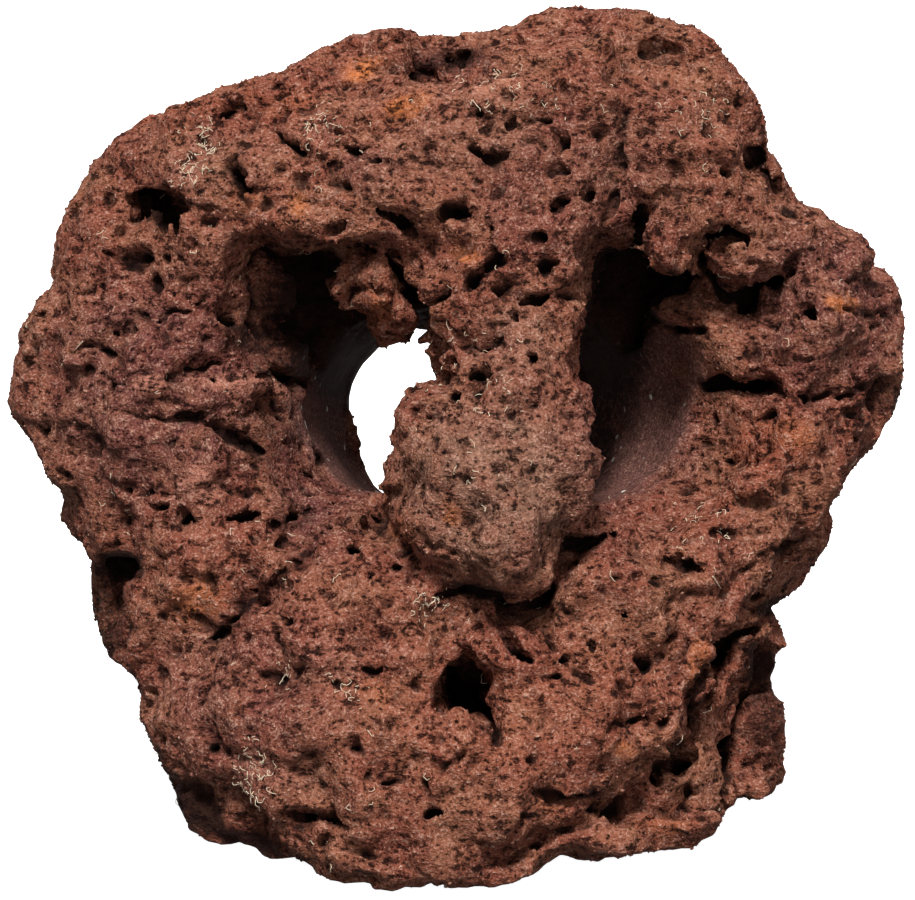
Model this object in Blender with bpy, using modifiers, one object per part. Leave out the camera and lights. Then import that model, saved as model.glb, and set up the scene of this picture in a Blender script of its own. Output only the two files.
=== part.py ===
"""A red lava rock with two bored tunnels that meet behind a pillar, standing on a flat sole.

It is one natural piece, so it is one solid, in metres, +Z up, resting on Z = 0.

The face of the rock leans back by LEAN. Its forms are set out on a layout plane through FACE_CENTRE that
leans with it: "across" runs to the right, "up" runs up the plane, and "out" runs from the plane towards an
eye point EYE_DISTANCE in front of it. across and up say where a form is seen on the plane from the eye
point, so a form that stands further out is set closer to the axis. The tables are in millimetres.
"""

import math

import bmesh
import bpy
from mathutils import Matrix, Vector

MM = 0.001

# Driving dimensions
LEAN = math.radians(15.0)
EYE_DISTANCE = 850.0
FACE_CENTRE = Vector((0.0, 0.0, 0.0871))
BORE_RADIUS = 25.0
BORE_SIDES = 48
TARGET_TRIANGLES = 10600

# Sizes of the steps that the clay goes through
BODY_VOXEL = 2.4 * MM
BODY_SMOOTHING = 2
LUMP_ROOT = -25.0
LUMP_SUBDIVISIONS = 3
SOLE_BLOCK = 400.0 * MM
BROAD_RELIEF = (16.0 * MM, 2.8 * MM)
NARROW_RELIEF = (7.0 * MM, 1.8 * MM)
BACK_RELIEF = (21.0 * MM, 11.0 * MM)
BACK_RELIEF_STARTS = -18.0
BACK_RELIEF_FULL = -42.0

# The rock's outline on the layout plane, clockwise from the left: (across, up). It runs on below the sole.
OUTLINE = (
    (-112, 13), (-111, 21), (-109, 31), (-106, 35), (-101, 42), (-100, 54), (-96, 62), (-91, 72),
    (-85, 77), (-79, 82), (-75, 85), (-68, 86), (-59, 90), (-51, 93), (-44, 93), (-37, 98),
    (-27, 103), (-19, 105), (-15, 105), (-9, 103), (1, 104), (9, 104), (14, 107), (22, 110),
    (36, 111), (47, 110), (53, 106), (59, 106), (64, 101), (69, 95), (74, 89), (77, 82),
    (78, 77), (77, 76), (80, 71), (84, 65), (84, 62), (90, 60), (95, 55), (103, 52),
    (108, 45), (111, 38), (112, 30), (111, 25), (111, 17), (109, 9), (105, 2), (98, -4),
    (96, -10), (96, -16), (93, -22), (89, -28), (83, -37), (78, -39), (81, -46), (80, -51),
    (81, -65), (82, -74), (80, -78), (82, -82), (76, -100), (56, -128), (-28, -128), (-56, -118),
    (-66, -104), (-69, -93), (-70, -86), (-74, -78), (-78, -70), (-80, -64), (-79, -58), (-83, -54), (-87, -50), (-90, -41), (-92, -38),
    (-91, -35), (-93, -26), (-96, -21), (-100, -16), (-99, -12), (-102, -7), (-105, 0), (-106, 3),
    (-111, 9),
)

# The slab behind the lumps, from back to front: (out, share of the outline).
SLAB_RINGS = (
    (-61, 0.34), (-58, 0.56), (-52, 0.72), (-44, 0.85), (-35, 0.93), (-24, 0.985), (-10, 1.01),
    (0, 0.985), (7, 0.92), (11, 0.80), (13, 0.50),
)

# Lumps that make the face: (across, up, out of its front, radius).
LUMPS = {
    "left brow": (
        (-87, 65, 6, 11), (-92, 52, 2, 9), (-77, 75, 10, 11), (-77, 48, 17, 12), (-64, 75, 20, 14),
        (-52, 82, 20, 12), (-61, 60, 28, 13), (-49, 65, 34, 14), (-39, 80, 28, 15), (-29, 92, 14, 12),
        (-18, 97, 8, 9), (-39, 62, 39, 11), (-26, 75, 38, 15), (-22, 60, 43, 9), (-32, 62, 41, 11),
        (-50, 58, 32, 9), (-12, 83, 32, 13), (-4, 73, 42, 14), (-14, 66, 43, 13),
    ),
    "top ridge": (
        (-7, 85, 30, 9), (6, 89, 31, 10), (18, 92, 31, 11), (33, 95, 28, 11), (46, 94, 24, 11),
    ),
    "top band": (
        (-12, 98, 0, 6), (-2, 99, -4, 5), (11, 101, 0, 7), (23, 104, 4, 7), (38, 104, 6, 8),
        (52, 99, 10, 8),
    ),
    "middle brow": (
        (11, 80, 42, 15), (23, 85, 40, 14), (36, 80, 38, 12), (28, 71, 45, 13), (13, 67, 46, 14),
        (1, 57, 46, 12), (16, 55, 49, 13), (27, 57, 46, 9),
    ),
    "right brow": (
        (58, 92, 24, 12), (66, 82, 24, 12), (56, 77, 36, 14), (70, 72, 14, 8), (61, 65, 36, 12),
        (49, 66, 37, 9), (52, 55, 35, 8), (57, 51, 32, 7), (69, 60, 27, 8), (76, 66, 16, 7),
        (78, 55, 24, 9), (47, 84, 32, 10),
    ),
    "left scoop": (
        (-103, 17, 2, 8), (-99, 30, 4, 9), (-96, 42, 2, 8), (-99, 5, 6, 8), (-89, 25, 16, 12),
        (-90, 38, 12, 10), (-89, 10, 18, 12), (-92, -5, 12, 10), (-79, 35, 20, 11), (-77, 22, 24, 11),
        (-77, 7, 26, 11), (-79, -7, 22, 11), (-66, 38, 24, 9), (-64, 25, 22, 10), (-64, 12, 22, 10),
        (-63, -4, 28, 10), (-53, 24, 12, 9), (-52, 14, 16, 8), (-52, 4, 17, 9), (-50, -8, 22, 10),
        (-39, -11, 20, 8), (-32, -16, 27, 9), (-62, 46, 26, 9), (-52, 38, 8, 9),
    ),
    "left shoulder": (
        (-93, -17, 6, 8), (-84, -21, 12, 9), (-72, -22, 28, 10), (-76, -37, 22, 10), (-79, -48, 18, 8),
        (-64, -34, 30, 11), (-61, -20, 30, 9), (-47, -20, 30, 9), (-68, -46, 26, 9), (-55, -29, 30, 9),
    ),
    "lower mass": (
        (-36, -37, 46, 12), (-47, -50, 46, 12), (-62, -63, 36, 12), (-72, -67, 22, 8), (-26, -27, 44, 9),
        (-19, -37, 50, 12), (-33, -52, 54, 13), (-16, -53, 55, 12), (-9, -40, 49, 10), (-65, -76, 30, 9),
        (-49, -68, 48, 14), (-34, -70, 57, 14), (-17, -69, 60, 14), (-3, -78, 63, 13), (-54, -83, 38, 10),
        (-39, -88, 50, 12), (-22, -88, 59, 13), (-4, -93, 60, 12), (11, -86, 62, 12), (-29, -101, 50, 11),
        (-13, -104, 54, 10), (2, -105, 54, 11), (15, -101, 51, 10), (16, -73, 60, 12), (28, -66, 57, 12),
        (41, -58, 49, 10), (50, -49, 43, 10), (59, -41, 38, 9), (26, -84, 56, 11), (36, -76, 50, 9),
        (46, -66, 44, 8), (16, -55, 55, 12), (30, -51, 52, 11), (4, -44, 50, 8), (24, -42, 46, 7),
        (-20, -112, 48, 9), (-8, -114, 47, 9), (6, -114, 47, 9), (26, -96, 45, 9),
    ),
    "right shoulder": (
        (36, -37, 50, 11), (34, -24, 42, 8), (46, -25, 38, 10), (46, -38, 46, 12), (61, -22, 34, 12),
        (60, -31, 37, 10), (73, -17, 30, 12), (71, -30, 32, 9), (86, -12, 22, 9), (86, -22, 16, 7),
    ),
    "right lobe": (
        (96, 46, 16, 8), (86, 50, 22, 9), (102, 37, 8, 8), (93, 35, 24, 12), (81, 40, 20, 8),
        (103, 25, 6, 8), (96, 20, 18, 10), (83, 26, 24, 11), (71, 26, 20, 10), (61, 31, 12, 7),
        (93, 6, 16, 9), (81, 5, 26, 11), (68, 2, 22, 9), (76, -7, 28, 10), (62, -11, 25, 8),
        (88, -4, 20, 9), (52, -18, 30, 7), (102, 12, 4, 8),
    ),
    "second ledge": (
        (67, -47, 20, 7), (62, -58, 22, 8), (56, -70, 26, 8), (55, -81, 28, 8), (57, -92, 23, 9),
        (46, -96, 33, 9), (36, -100, 38, 9), (46, -82, 36, 8), (50, -104, 26, 8), (40, -106, 31, 8),
    ),
    "back ledge": (
        (75, -55, 8, 6), (76, -66, 8, 7), (75, -78, 6, 7), (68, -88, 6, 8),
    ),
    "left foot": (
        (-61, -91, 14, 9), (-53, -98, 26, 9), (-43, -104, 34, 9), (-32, -110, 40, 8),
    ),
}

# Round lumps of the broken back, on a sunflower spiral: each one is set a golden angle on from the last.
BACK_LUMP_COUNT = 52
BACK_LUMP_RADII = (10.0, 14.0, 7.0, 12.0, 9.0)
BACK_LUMP_STEPS = (0.0, 3.0, -2.0, 5.0, 1.0, -3.0, 2.0)
BACK_SPREAD = 0.92
BACK_DEPTHS = (-64.0, -36.0)
BACK_HOLLOW_COUNT = 13
BACK_HOLLOW_HALVES = ((13.0, 5.0, 8.0), (8.0, 5.0, 9.0), (16.0, 6.0, 7.0), (6.0, 10.0, 8.0))
BACK_HOLLOW_TURN = math.radians(70.0)
BACK_HOLLOW_ROLL = 37.0
GOLDEN_ANGLE = math.radians(137.508)

# Lumps that stand in front of the bores, and so are not cut by them: (across, up, out of its front, radius).
BRIDGE_LUMPS = {
    "pillar": (
        (0, 43, 44, 8), (11, 42, 50, 12), (24, 44, 47, 9), (0, 32, 44, 7), (11, 31, 49, 11),
        (23, 33, 46, 8), (3, 21, 46, 8), (12, 21, 50, 10), (21, 22, 48, 8),
    ),
    "knob": (
        (-7, 8, 50, 8), (1, 13, 53, 9), (13, 11, 58, 13), (25, 11, 55, 8), (-7, -2, 54, 8),
        (3, -5, 64, 14), (18, -3, 64, 14), (28, -2, 57, 7), (-9, -13, 52, 8), (-2, -17, 60, 12),
        (12, -19, 67, 14), (24, -12, 61, 10), (7, -28, 62, 9), (17, -27, 62, 8), (-2, -27, 55, 8),
    ),
}
BRIDGE_ROOT = 8.0

# Hollows that gas and flow left in the face: (across, up, out, half sizes across, up and out, roll).
HOLLOWS = {
    "under the left brow": (-35, 39, 6, 12, 11, 28, 8),
    "above the left bore": (-27, 31, 0, 9, 9, 24, 0),
    "left end of the left brow": (-46, 42, 22, 9, 6, 18, 15),
    "ledge under the left brow": (-55, 35, 22, 9, 4, 13, 25),
    "beside the nodule": (-14, 42, 8, 9, 8, 14, 0),
    "under the right brow": (45, 41, 8, 8, 9, 26, -8),
    "deep under the right brow": (53, 43, 16, 6, 5, 20, -8),
    "scoop under the right brow": (57, 36, 20, 8, 5, 12, 10),
    "behind the shelf": (76, 39, 22, 6, 7, 13, 20),
    "recess over the shelf": (67, 55, 28, 8, 3, 10, 10),
    "right lobe slit": (72, 15, 24, 10, 3, 13, 8),
    "upper slit of the right lobe": (88, 28, 26, 9, 2, 8, -25),
    "crown recess": (-7, 95, 14, 9, 6, 17, -15),
    "crown recess end": (4, 98, 10, 9, 4, 14, -12),
    "pit high on the left": (-73, 60, 22, 7, 5, 13, 20),
    "second pit on the left": (-82, 49, 14, 5, 4, 10, 0),
    "slit high on the left": (-55, 68, 30, 3, 5, 9, 25),
    "scoop slit": (-57, 2, 24, 8, 3, 8, 25),
    "pit in the lower mass": (4, -59, 56, 5, 9, 22, 25),
    "pit behind the knob": (20, -37, 54, 3, 3, 8, 0),
    "notch of the left shoulder": (-87, -28, 12, 6, 4, 13, 0),
    "notch under the right brow": (82, 72, 16, 4, 3, 12, -30),
    "crease beside the right brow": (41, 66, 44, 2, 20, 9, -10),
    "diagonal step": (-46, -38, 42, 2, 22, 6, -43),
    "gap behind the lower mass": (59, -64, 30, 3, 22, 14, -25),
    "gap behind the second ledge": (69, -70, 16, 3, 22, 14, -8),
    "undercut of the knob": (3, -38, 58, 14, 3, 9, 0),
    "undercut at the lower left": (-57, -90, 36, 17, 3, 16, -29),
    "crease over the foot": (52, -80, 40, 14, 2, 7, 12),
}

# The nodule that hangs in the left opening: (across, up, out of its front, radius).
NODULE = (
    (-27, 45, 20, 6), (-20, 46, 27, 6), (-12, 47, 30, 6), (-22, 39, 22, 5), (-14, 39, 27, 6),
    (-18, 33, 22, 4), (-11, 33, 21, 4), (-20, 51, 30, 6), (-28, 51, 26, 5),
)
NODULE_ROOT = 0.0

# The bores, from the point that they share at the back to where each one opens in front.
BORE_BACK = (-2.4, 7.5, -60.0)
BORE_FRONTS = {"left": (-16.9, 13.8, 5.0), "right": (32.9, 12.5, 5.0)}
BORE_PAST_BACK = 40.0
BORE_PAST_FRONT = 24.0

STONE_COLOUR = (0.16, 0.062, 0.043, 1.0)
STONE_ROUGHNESS = 0.92


def sight_point(across, up, out):
    """The place in metres of a form seen at (across, up) from the eye point, when it stands that far out."""
    share = (EYE_DISTANCE - out) / EYE_DISTANCE
    plane_up = Vector((0.0, math.sin(LEAN), math.cos(LEAN)))
    towards_eye = Vector((0.0, -math.cos(LEAN), math.sin(LEAN)))
    offset = Vector((across * share, 0.0, 0.0)) + plane_up * (up * share) + towards_eye * out
    return FACE_CENTRE + offset * MM


def layout_turn():
    """The turn that sets a shape's X, Y and Z along across, up and out."""
    return Matrix.Rotation(math.radians(90.0) - LEAN, 4, "X")


def clear_scene():
    """Removes every object, so that the file starts from nothing."""
    for existing in list(bpy.data.objects):
        bpy.data.objects.remove(existing)


def new_collection(name):
    """Adds a collection of that name to the scene."""
    collection = bpy.data.collections.new(name)
    bpy.context.scene.collection.children.link(collection)
    return collection


def add_object(name, shape, collection):
    """Makes a named object from a bmesh, with its faces pointing out."""
    bmesh.ops.recalc_face_normals(shape, faces=shape.faces)
    mesh = bpy.data.meshes.new(name)
    shape.to_mesh(mesh)
    shape.free()
    made = bpy.data.objects.new(name, mesh)
    collection.objects.link(made)
    return made


def as_cutter(made):
    """Marks an object as a tool that is not part of the rock."""
    made.hide_render = True
    made.display_type = "WIRE"
    return made


def apply_modifiers(made):
    """Turns an object's modifiers into its mesh."""
    bpy.context.view_layer.update()
    evaluated = made.evaluated_get(bpy.context.evaluated_depsgraph_get())
    mesh = bpy.data.meshes.new_from_object(evaluated)
    made.modifiers.clear()
    made.data = mesh
    return made


def outline_clearance(across, up):
    """How far a point on the layout plane lies inside the outline, in millimetres."""
    point = Vector((across, up))
    nearest = math.inf
    for start, end in zip(OUTLINE, OUTLINE[1:] + OUTLINE[:1]):
        first = Vector(start)
        edge = Vector(end) - first
        along = max(0.0, min(1.0, (point - first).dot(edge) / edge.length_squared))
        nearest = min(nearest, (point - first - edge * along).length)
    return nearest


def add_slab(shape):
    """Lofts the slab that carries the lumps, ring by ring from back to front."""
    rings = []
    for out, share in SLAB_RINGS:
        rings.append([shape.verts.new(sight_point(a * share, u * share, out)) for a, u in OUTLINE])
    count = len(OUTLINE)
    for near, far in zip(rings, rings[1:]):
        for i in range(count):
            j = (i + 1) % count
            shape.faces.new((near[i], near[j], far[j], far[i]))
    shape.faces.new(rings[0])
    shape.faces.new(list(reversed(rings[-1])))


def add_lump(shape, across, up, out, radius, root=LUMP_ROOT):
    """Adds a round-nosed lump whose nose stands at out and whose tail is drawn back to root."""
    radius = min(radius, outline_clearance(across, up) + 1.0)
    nose = bmesh.ops.create_icosphere(shape, subdivisions=LUMP_SUBDIVISIONS, radius=1.0)["verts"]
    turn = layout_turn()
    centre = sight_point(across, up, out - radius)
    tail = sight_point(across, up, min(root, out - 2.0 * radius) + radius) - centre
    for vert in nose:
        drawn = tail if vert.co.z < 0.0 else Vector((0.0, 0.0, 0.0))
        vert.co = centre + turn @ (vert.co * radius * MM) + drawn


def outline_reach(angle):
    """How far the outline lies from the middle of the layout plane in one direction, in millimetres."""
    ray = Vector((math.cos(angle), math.sin(angle)))
    reach = 0.0
    for start, end in zip(OUTLINE, OUTLINE[1:] + OUTLINE[:1]):
        first = Vector(start)
        edge = Vector(end) - first
        across_ray = edge.x * ray.y - edge.y * ray.x
        if abs(across_ray) < 1.0e-9:
            continue
        along_edge = (ray.x * first.y - ray.y * first.x) / across_ray
        if 0.0 <= along_edge <= 1.0:
            reach = max(reach, (first + edge * along_edge).dot(ray))
    return reach


def back_place(i, count, turn):
    """The place (across, up, out) of step i on the spiral over the back, deepest in the middle."""
    angle = i * GOLDEN_ANGLE + turn
    share = math.sqrt((i + 0.5) / count)
    reach = outline_reach(angle) * share * BACK_SPREAD
    depth = BACK_DEPTHS[0] + (BACK_DEPTHS[1] - BACK_DEPTHS[0]) * share ** 3
    return reach * math.cos(angle), reach * math.sin(angle), depth


def add_back_lumps(shape):
    """Covers the back with round lumps that stand out by unlike steps."""
    for i in range(BACK_LUMP_COUNT):
        across, up, depth = back_place(i, BACK_LUMP_COUNT, 0.0)
        radius = min(BACK_LUMP_RADII[i % len(BACK_LUMP_RADII)], outline_clearance(across, up) + 1.0)
        depth += radius + BACK_LUMP_STEPS[i % len(BACK_LUMP_STEPS)]
        bmesh.ops.create_icosphere(
            shape,
            subdivisions=LUMP_SUBDIVISIONS,
            radius=radius * MM,
            matrix=Matrix.Translation(sight_point(across, up, depth)),
        )


def add_hollow(shape, across, up, out, half_across, half_up, half_out, roll):
    """Adds the ellipsoid that leaves a hollow, centred on the given place."""
    size = Matrix.Diagonal(Vector((half_across, half_up, half_out, 1000.0)) * MM)
    place = Matrix.Translation(sight_point(across, up, out))
    spin = Matrix.Rotation(math.radians(roll), 4, "Z")
    bmesh.ops.create_icosphere(
        shape, subdivisions=LUMP_SUBDIVISIONS, radius=1.0, matrix=place @ layout_turn() @ spin @ size
    )


def remesh(made, voxel, smoothing):
    """Fuses everything in an object into one skin and softens it."""
    fuse = made.modifiers.new("Fuse", "REMESH")
    fuse.mode = "VOXEL"
    fuse.voxel_size = voxel
    soften = made.modifiers.new("Soften", "SMOOTH")
    soften.factor = 0.5
    soften.iterations = smoothing
    return apply_modifiers(made)


def combine(made, tool, operation):
    """Cuts the tool from the object, or joins it to it."""
    boolean = made.modifiers.new("Combine", "BOOLEAN")
    boolean.operation = operation
    boolean.solver = "EXACT"
    boolean.object = tool
    return apply_modifiers(made)


def add_back_group(made):
    """Adds the vertex group that grows from nothing to full over the back of the rock."""
    group = made.vertex_groups.new(name="back")
    towards_eye = Vector((0.0, -math.cos(LEAN), math.sin(LEAN)))
    for vert in made.data.vertices:
        out = (vert.co - FACE_CENTRE).dot(towards_eye) / MM
        share = (BACK_RELIEF_STARTS - out) / (BACK_RELIEF_STARTS - BACK_RELIEF_FULL)
        group.add([vert.index], max(0.0, min(1.0, share)), "REPLACE")
    return group.name


def roughen(made, name, noise_size, strength, group=""):
    """Pushes the skin in and out by a cloudy pattern, everywhere or where a vertex group says."""
    pattern = bpy.data.textures.new(name, "CLOUDS")
    pattern.noise_scale = noise_size
    pattern.noise_depth = 2
    push = made.modifiers.new(name, "DISPLACE")
    push.texture = pattern
    push.texture_coords = "GLOBAL"
    push.strength = strength
    push.mid_level = 0.5
    push.vertex_group = group
    return apply_modifiers(made)


def roughen_all_over(made):
    """Gives a form the broad and the narrow relief."""
    roughen(made, "broad_relief", *BROAD_RELIEF)
    return roughen(made, "narrow_relief", *NARROW_RELIEF)


def make_body(collection):
    """The slab and all the lumps of the face, fused."""
    shape = bmesh.new()
    add_slab(shape)
    for lumps in LUMPS.values():
        for lump in lumps:
            add_lump(shape, *lump)
    add_back_lumps(shape)
    body = remesh(add_object("lava_rock", shape, collection), BODY_VOXEL, BODY_SMOOTHING)
    roughen(body, "back_relief", *BACK_RELIEF, add_back_group(body))
    return roughen_all_over(body)


def make_hollows(collection):
    """The hollows, fused into one cutter."""
    shape = bmesh.new()
    for hollow in HOLLOWS.values():
        add_hollow(shape, *hollow)
    for i in range(BACK_HOLLOW_COUNT):
        place = back_place(i, BACK_HOLLOW_COUNT, BACK_HOLLOW_TURN)
        halves = BACK_HOLLOW_HALVES[i % len(BACK_HOLLOW_HALVES)]
        add_hollow(shape, *place, *halves, i * BACK_HOLLOW_ROLL)
    return as_cutter(remesh(add_object("hollows", shape, collection), BODY_VOXEL, 1))


def make_lump_group(name, lumps, root, collection):
    """Lumps that are fused with each other first, to be joined to the rock later."""
    shape = bmesh.new()
    for lump in lumps:
        add_lump(shape, *lump, root=root)
    return as_cutter(roughen_all_over(remesh(add_object(name, shape, collection), BODY_VOXEL, 1)))


def make_bore(name, front, collection):
    """A round bar along one bore, running past the rock behind."""
    back_point = sight_point(*BORE_BACK)
    front_point = sight_point(*front)
    along = (front_point - back_point).normalized()
    start = back_point - along * BORE_PAST_BACK * MM
    end = front_point + along * BORE_PAST_FRONT * MM
    shape = bmesh.new()
    place = Matrix.Translation((start + end) / 2.0) @ along.to_track_quat("Z", "Y").to_matrix().to_4x4()
    bmesh.ops.create_cone(
        shape,
        cap_ends=True,
        segments=BORE_SIDES,
        radius1=BORE_RADIUS * MM,
        radius2=BORE_RADIUS * MM,
        depth=(end - start).length,
        matrix=place,
    )
    return as_cutter(add_object(name + "_bore", shape, collection))


def make_sole_block(collection):
    """The block whose top face, at Z = 0, saws the sole flat."""
    shape = bmesh.new()
    bmesh.ops.create_cube(shape, size=SOLE_BLOCK, matrix=Matrix.Translation((0.0, 0.0, -SOLE_BLOCK / 2.0)))
    return as_cutter(add_object("sole_block", shape, collection))


def thin_out(made):
    """Brings the skin down to the number of triangles that it may have."""
    whole = made.modifiers.new("Triangles", "TRIANGULATE")
    whole.min_vertices = 4
    apply_modifiers(made)
    thin = made.modifiers.new("Thin", "DECIMATE")
    thin.ratio = min(1.0, TARGET_TRIANGLES / len(made.data.polygons))
    return apply_modifiers(made)


def stand_on_origin(made):
    """Moves the rock along the ground until the middle of its box is over the origin."""
    for axis in (0, 1):
        places = [vert.co[axis] for vert in made.data.vertices]
        middle = (min(places) + max(places)) / 2.0
        for vert in made.data.vertices:
            vert.co[axis] -= middle


def stone():
    """The rock's material."""
    material = bpy.data.materials.new("red_scoria")
    material.use_nodes = True
    surface = material.node_tree.nodes["Principled BSDF"]
    surface.inputs["Base Color"].default_value = STONE_COLOUR
    surface.inputs["Roughness"].default_value = STONE_ROUGHNESS
    surface.inputs["Metallic"].default_value = 0.0
    return material


def main():
    """Builds the rock."""
    clear_scene()
    parts = new_collection("lava_rock")
    cutters = new_collection("cutters")
    rock = make_body(parts)
    for name, front in BORE_FRONTS.items():
        combine(rock, make_bore(name, front, cutters), "DIFFERENCE")
    for name, lumps in BRIDGE_LUMPS.items():
        combine(rock, make_lump_group(name, lumps, BRIDGE_ROOT, cutters), "UNION")
    combine(rock, make_hollows(cutters), "DIFFERENCE")
    combine(rock, make_lump_group("nodule", NODULE, NODULE_ROOT, cutters), "UNION")
    remesh(rock, BODY_VOXEL, 0)
    thin_out(rock)
    combine(rock, make_sole_block(cutters), "DIFFERENCE")
    stand_on_origin(rock)
    rock.data.materials.clear()
    rock.data.materials.append(stone())


main()
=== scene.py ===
"""The looks of a lava rock: red scoria, two drilled tunnels that meet behind a pillar, and dry rootlets.

The stone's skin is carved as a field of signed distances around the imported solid: first the forms of the
face, then clots of lava, gas bubbles, pits and creases, and last the fine crumb. The skin then stands for
the solid. Grit, dry rootlets and a few straws are set on it.

A place on the face is given as (across, up, out): to the right and up on a plane that leans back like the
face, and out in front of that plane. Sizes and places in the field are in millimetres; meshes, lights and
the camera are in metres.
"""
from __future__ import annotations

import logging
import math
from dataclasses import dataclass, field as data_field
from enum import Enum
from typing import Any

import bmesh
import bpy
import numpy as np
import openvdb
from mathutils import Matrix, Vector


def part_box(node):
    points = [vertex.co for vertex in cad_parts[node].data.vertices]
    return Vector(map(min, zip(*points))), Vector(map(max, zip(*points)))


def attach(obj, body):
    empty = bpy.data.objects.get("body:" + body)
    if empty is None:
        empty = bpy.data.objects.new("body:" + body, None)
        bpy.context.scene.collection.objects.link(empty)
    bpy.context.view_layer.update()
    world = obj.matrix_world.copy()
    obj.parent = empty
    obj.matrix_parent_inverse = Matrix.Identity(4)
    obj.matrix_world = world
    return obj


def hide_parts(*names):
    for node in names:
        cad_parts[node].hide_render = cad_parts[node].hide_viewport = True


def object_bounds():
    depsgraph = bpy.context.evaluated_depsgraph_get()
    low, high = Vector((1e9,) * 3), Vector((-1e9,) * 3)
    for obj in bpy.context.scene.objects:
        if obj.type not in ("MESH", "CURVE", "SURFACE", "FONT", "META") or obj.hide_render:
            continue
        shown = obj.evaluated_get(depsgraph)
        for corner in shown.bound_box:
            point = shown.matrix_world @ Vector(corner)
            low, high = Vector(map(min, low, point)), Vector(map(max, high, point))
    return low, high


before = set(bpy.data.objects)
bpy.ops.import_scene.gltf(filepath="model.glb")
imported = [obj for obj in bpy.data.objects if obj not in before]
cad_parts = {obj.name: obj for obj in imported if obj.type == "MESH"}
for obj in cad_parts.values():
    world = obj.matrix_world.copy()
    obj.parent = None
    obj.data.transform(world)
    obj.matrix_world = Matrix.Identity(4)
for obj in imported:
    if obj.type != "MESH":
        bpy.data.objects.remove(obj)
cad_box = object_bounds()

MM = 0.001
BODY = "root"
NODE = "lava_rock"
# Further out in front of the layout plane, and further behind it, than any of the stone reaches.
FRONT_LIMIT = 90.0
# What a length or a steepness is never taken to be less than, so that nothing is divided by zero.
LEAST_LENGTH = 1e-6
LEAST_STEEPNESS = 1e-4
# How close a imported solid's points are when they are the same point, in metres.
MERGE_DISTANCE = 0.005 * MM
# The mean size of a number from the bell curve; folded noise less this has a mean near zero.
FOLD_MEAN = 0.8
# How far from its middle a spot is at full strength, and where it ends, in shares of its half size.
SPOT_CORE = 0.45
SPOT_END = 1.25
# The depth over which a spot fades at its reach.
REACH_FADE = 5.0

log = logging.getLogger("lava_rock")

Pair = tuple[float, float]
Vector3 = tuple[float, float, float]
Colour = tuple[float, float, float]
Rows = tuple[tuple[float, ...], ...]
Places = tuple[np.ndarray, np.ndarray, np.ndarray]


# --- the layout of the face ----------------------------------------------------------------------------


@dataclass(frozen=True)
class FaceLayout:
    """The leaning plane that the face's forms are set out on, seen from an eye point in front of it."""

    centre: Vector3 = (0.79, 2.38, 87.1)
    lean: float = math.radians(15.0)
    eye_distance: float = 850.0

    def axes(self) -> np.ndarray:
        """Unit vectors across, up and out of the plane, as rows."""
        sine, cosine = math.sin(self.lean), math.cos(self.lean)
        return np.array(((1.0, 0.0, 0.0), (0.0, sine, cosine), (0.0, -cosine, sine)))

    def place(self, across: Any, up: Any, out: Any) -> np.ndarray:
        """Finds the point that is seen at (across, up) when it stands that far out.

        Args:
            across: How far right of the middle, in millimetres; a number or an array.
            up: How far up the plane.
            out: How far in front of the plane.

        Returns:
            The point or points in the rock's frame, in millimetres.
        """
        across, up, out = np.broadcast_arrays(np.asarray(across, float), up, out)
        share = (self.eye_distance - out) / self.eye_distance
        return np.array(self.centre) + np.stack((across * share, up * share, out), axis=-1) @ self.axes()

    def read(self, points: np.ndarray) -> Places:
        """Reads points back as (across, up, out).

        Args:
            points: Points in the rock's frame, in millimetres, one to a row.

        Returns:
            Three arrays, one number for each point.
        """
        local = (points - np.array(self.centre)) @ self.axes().T
        share = (self.eye_distance - local[:, 2]) / self.eye_distance
        return local[:, 0] / share, local[:, 1] / share, local[:, 2]


@dataclass(frozen=True)
class Pit:
    """A hole seen from in front: its middle, half width, half height, depth and roll in degrees."""

    across: float
    up: float
    half_width: float
    half_height: float
    depth: float
    roll: float = 0.0


@dataclass(frozen=True)
class Clot:
    """A round lump on the face: its middle, its radius and how far it stands proud."""

    across: float
    up: float
    radius: float
    proud: float


@dataclass(frozen=True)
class Crease:
    """A crack or step along a line over the face."""

    line: tuple[Pair, ...]
    half_width: float
    depth: float

    def stations(self, step: float = 1.6) -> list[Pair]:
        """Sets out points along the line.

        Args:
            step: About how far apart they are.

        Returns:
            The points, as (across, up).
        """
        places = []
        for start, end in zip(self.line, self.line[1:]):
            count = max(1, round(math.dist(start, end) / step))
            for k in range(count):
                places.append(tuple(a + (b - a) * k / count for a, b in zip(start, end)))
        return places + [self.line[-1]]


@dataclass(frozen=True)
class Bore:
    """A drilled tunnel, from where it starts behind to where it opens in front, as (across, up, out)."""

    back: Vector3
    front: Vector3
    radius: float = 25.0


@dataclass(frozen=True)
class Hollow:
    """A hollow with a drawn edge, cut back along the line of sight.

    floor is how far out its bottom is, or, when it is below the surface by a set depth, that depth.
    """

    edge: tuple[Pair, ...]
    floor: float | None = None
    depth: float = 0.0
    blend: float = 1.0


@dataclass(frozen=True)
class Boss:
    """A lump with a drawn edge, domed in front."""

    edge: tuple[Pair, ...]
    front: float
    back: float
    crown: float = 3.0
    crown_width: float = 4.0
    blend: float = 2.0


LAYOUT = FaceLayout()

BORES = (
    Bore(back=(-2.4, 7.5, -60.0), front=(-16.9, 13.8, 5.0)),
    Bore(back=(-2.4, 7.5, -60.0), front=(32.9, 12.5, 5.0)),
)

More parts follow.
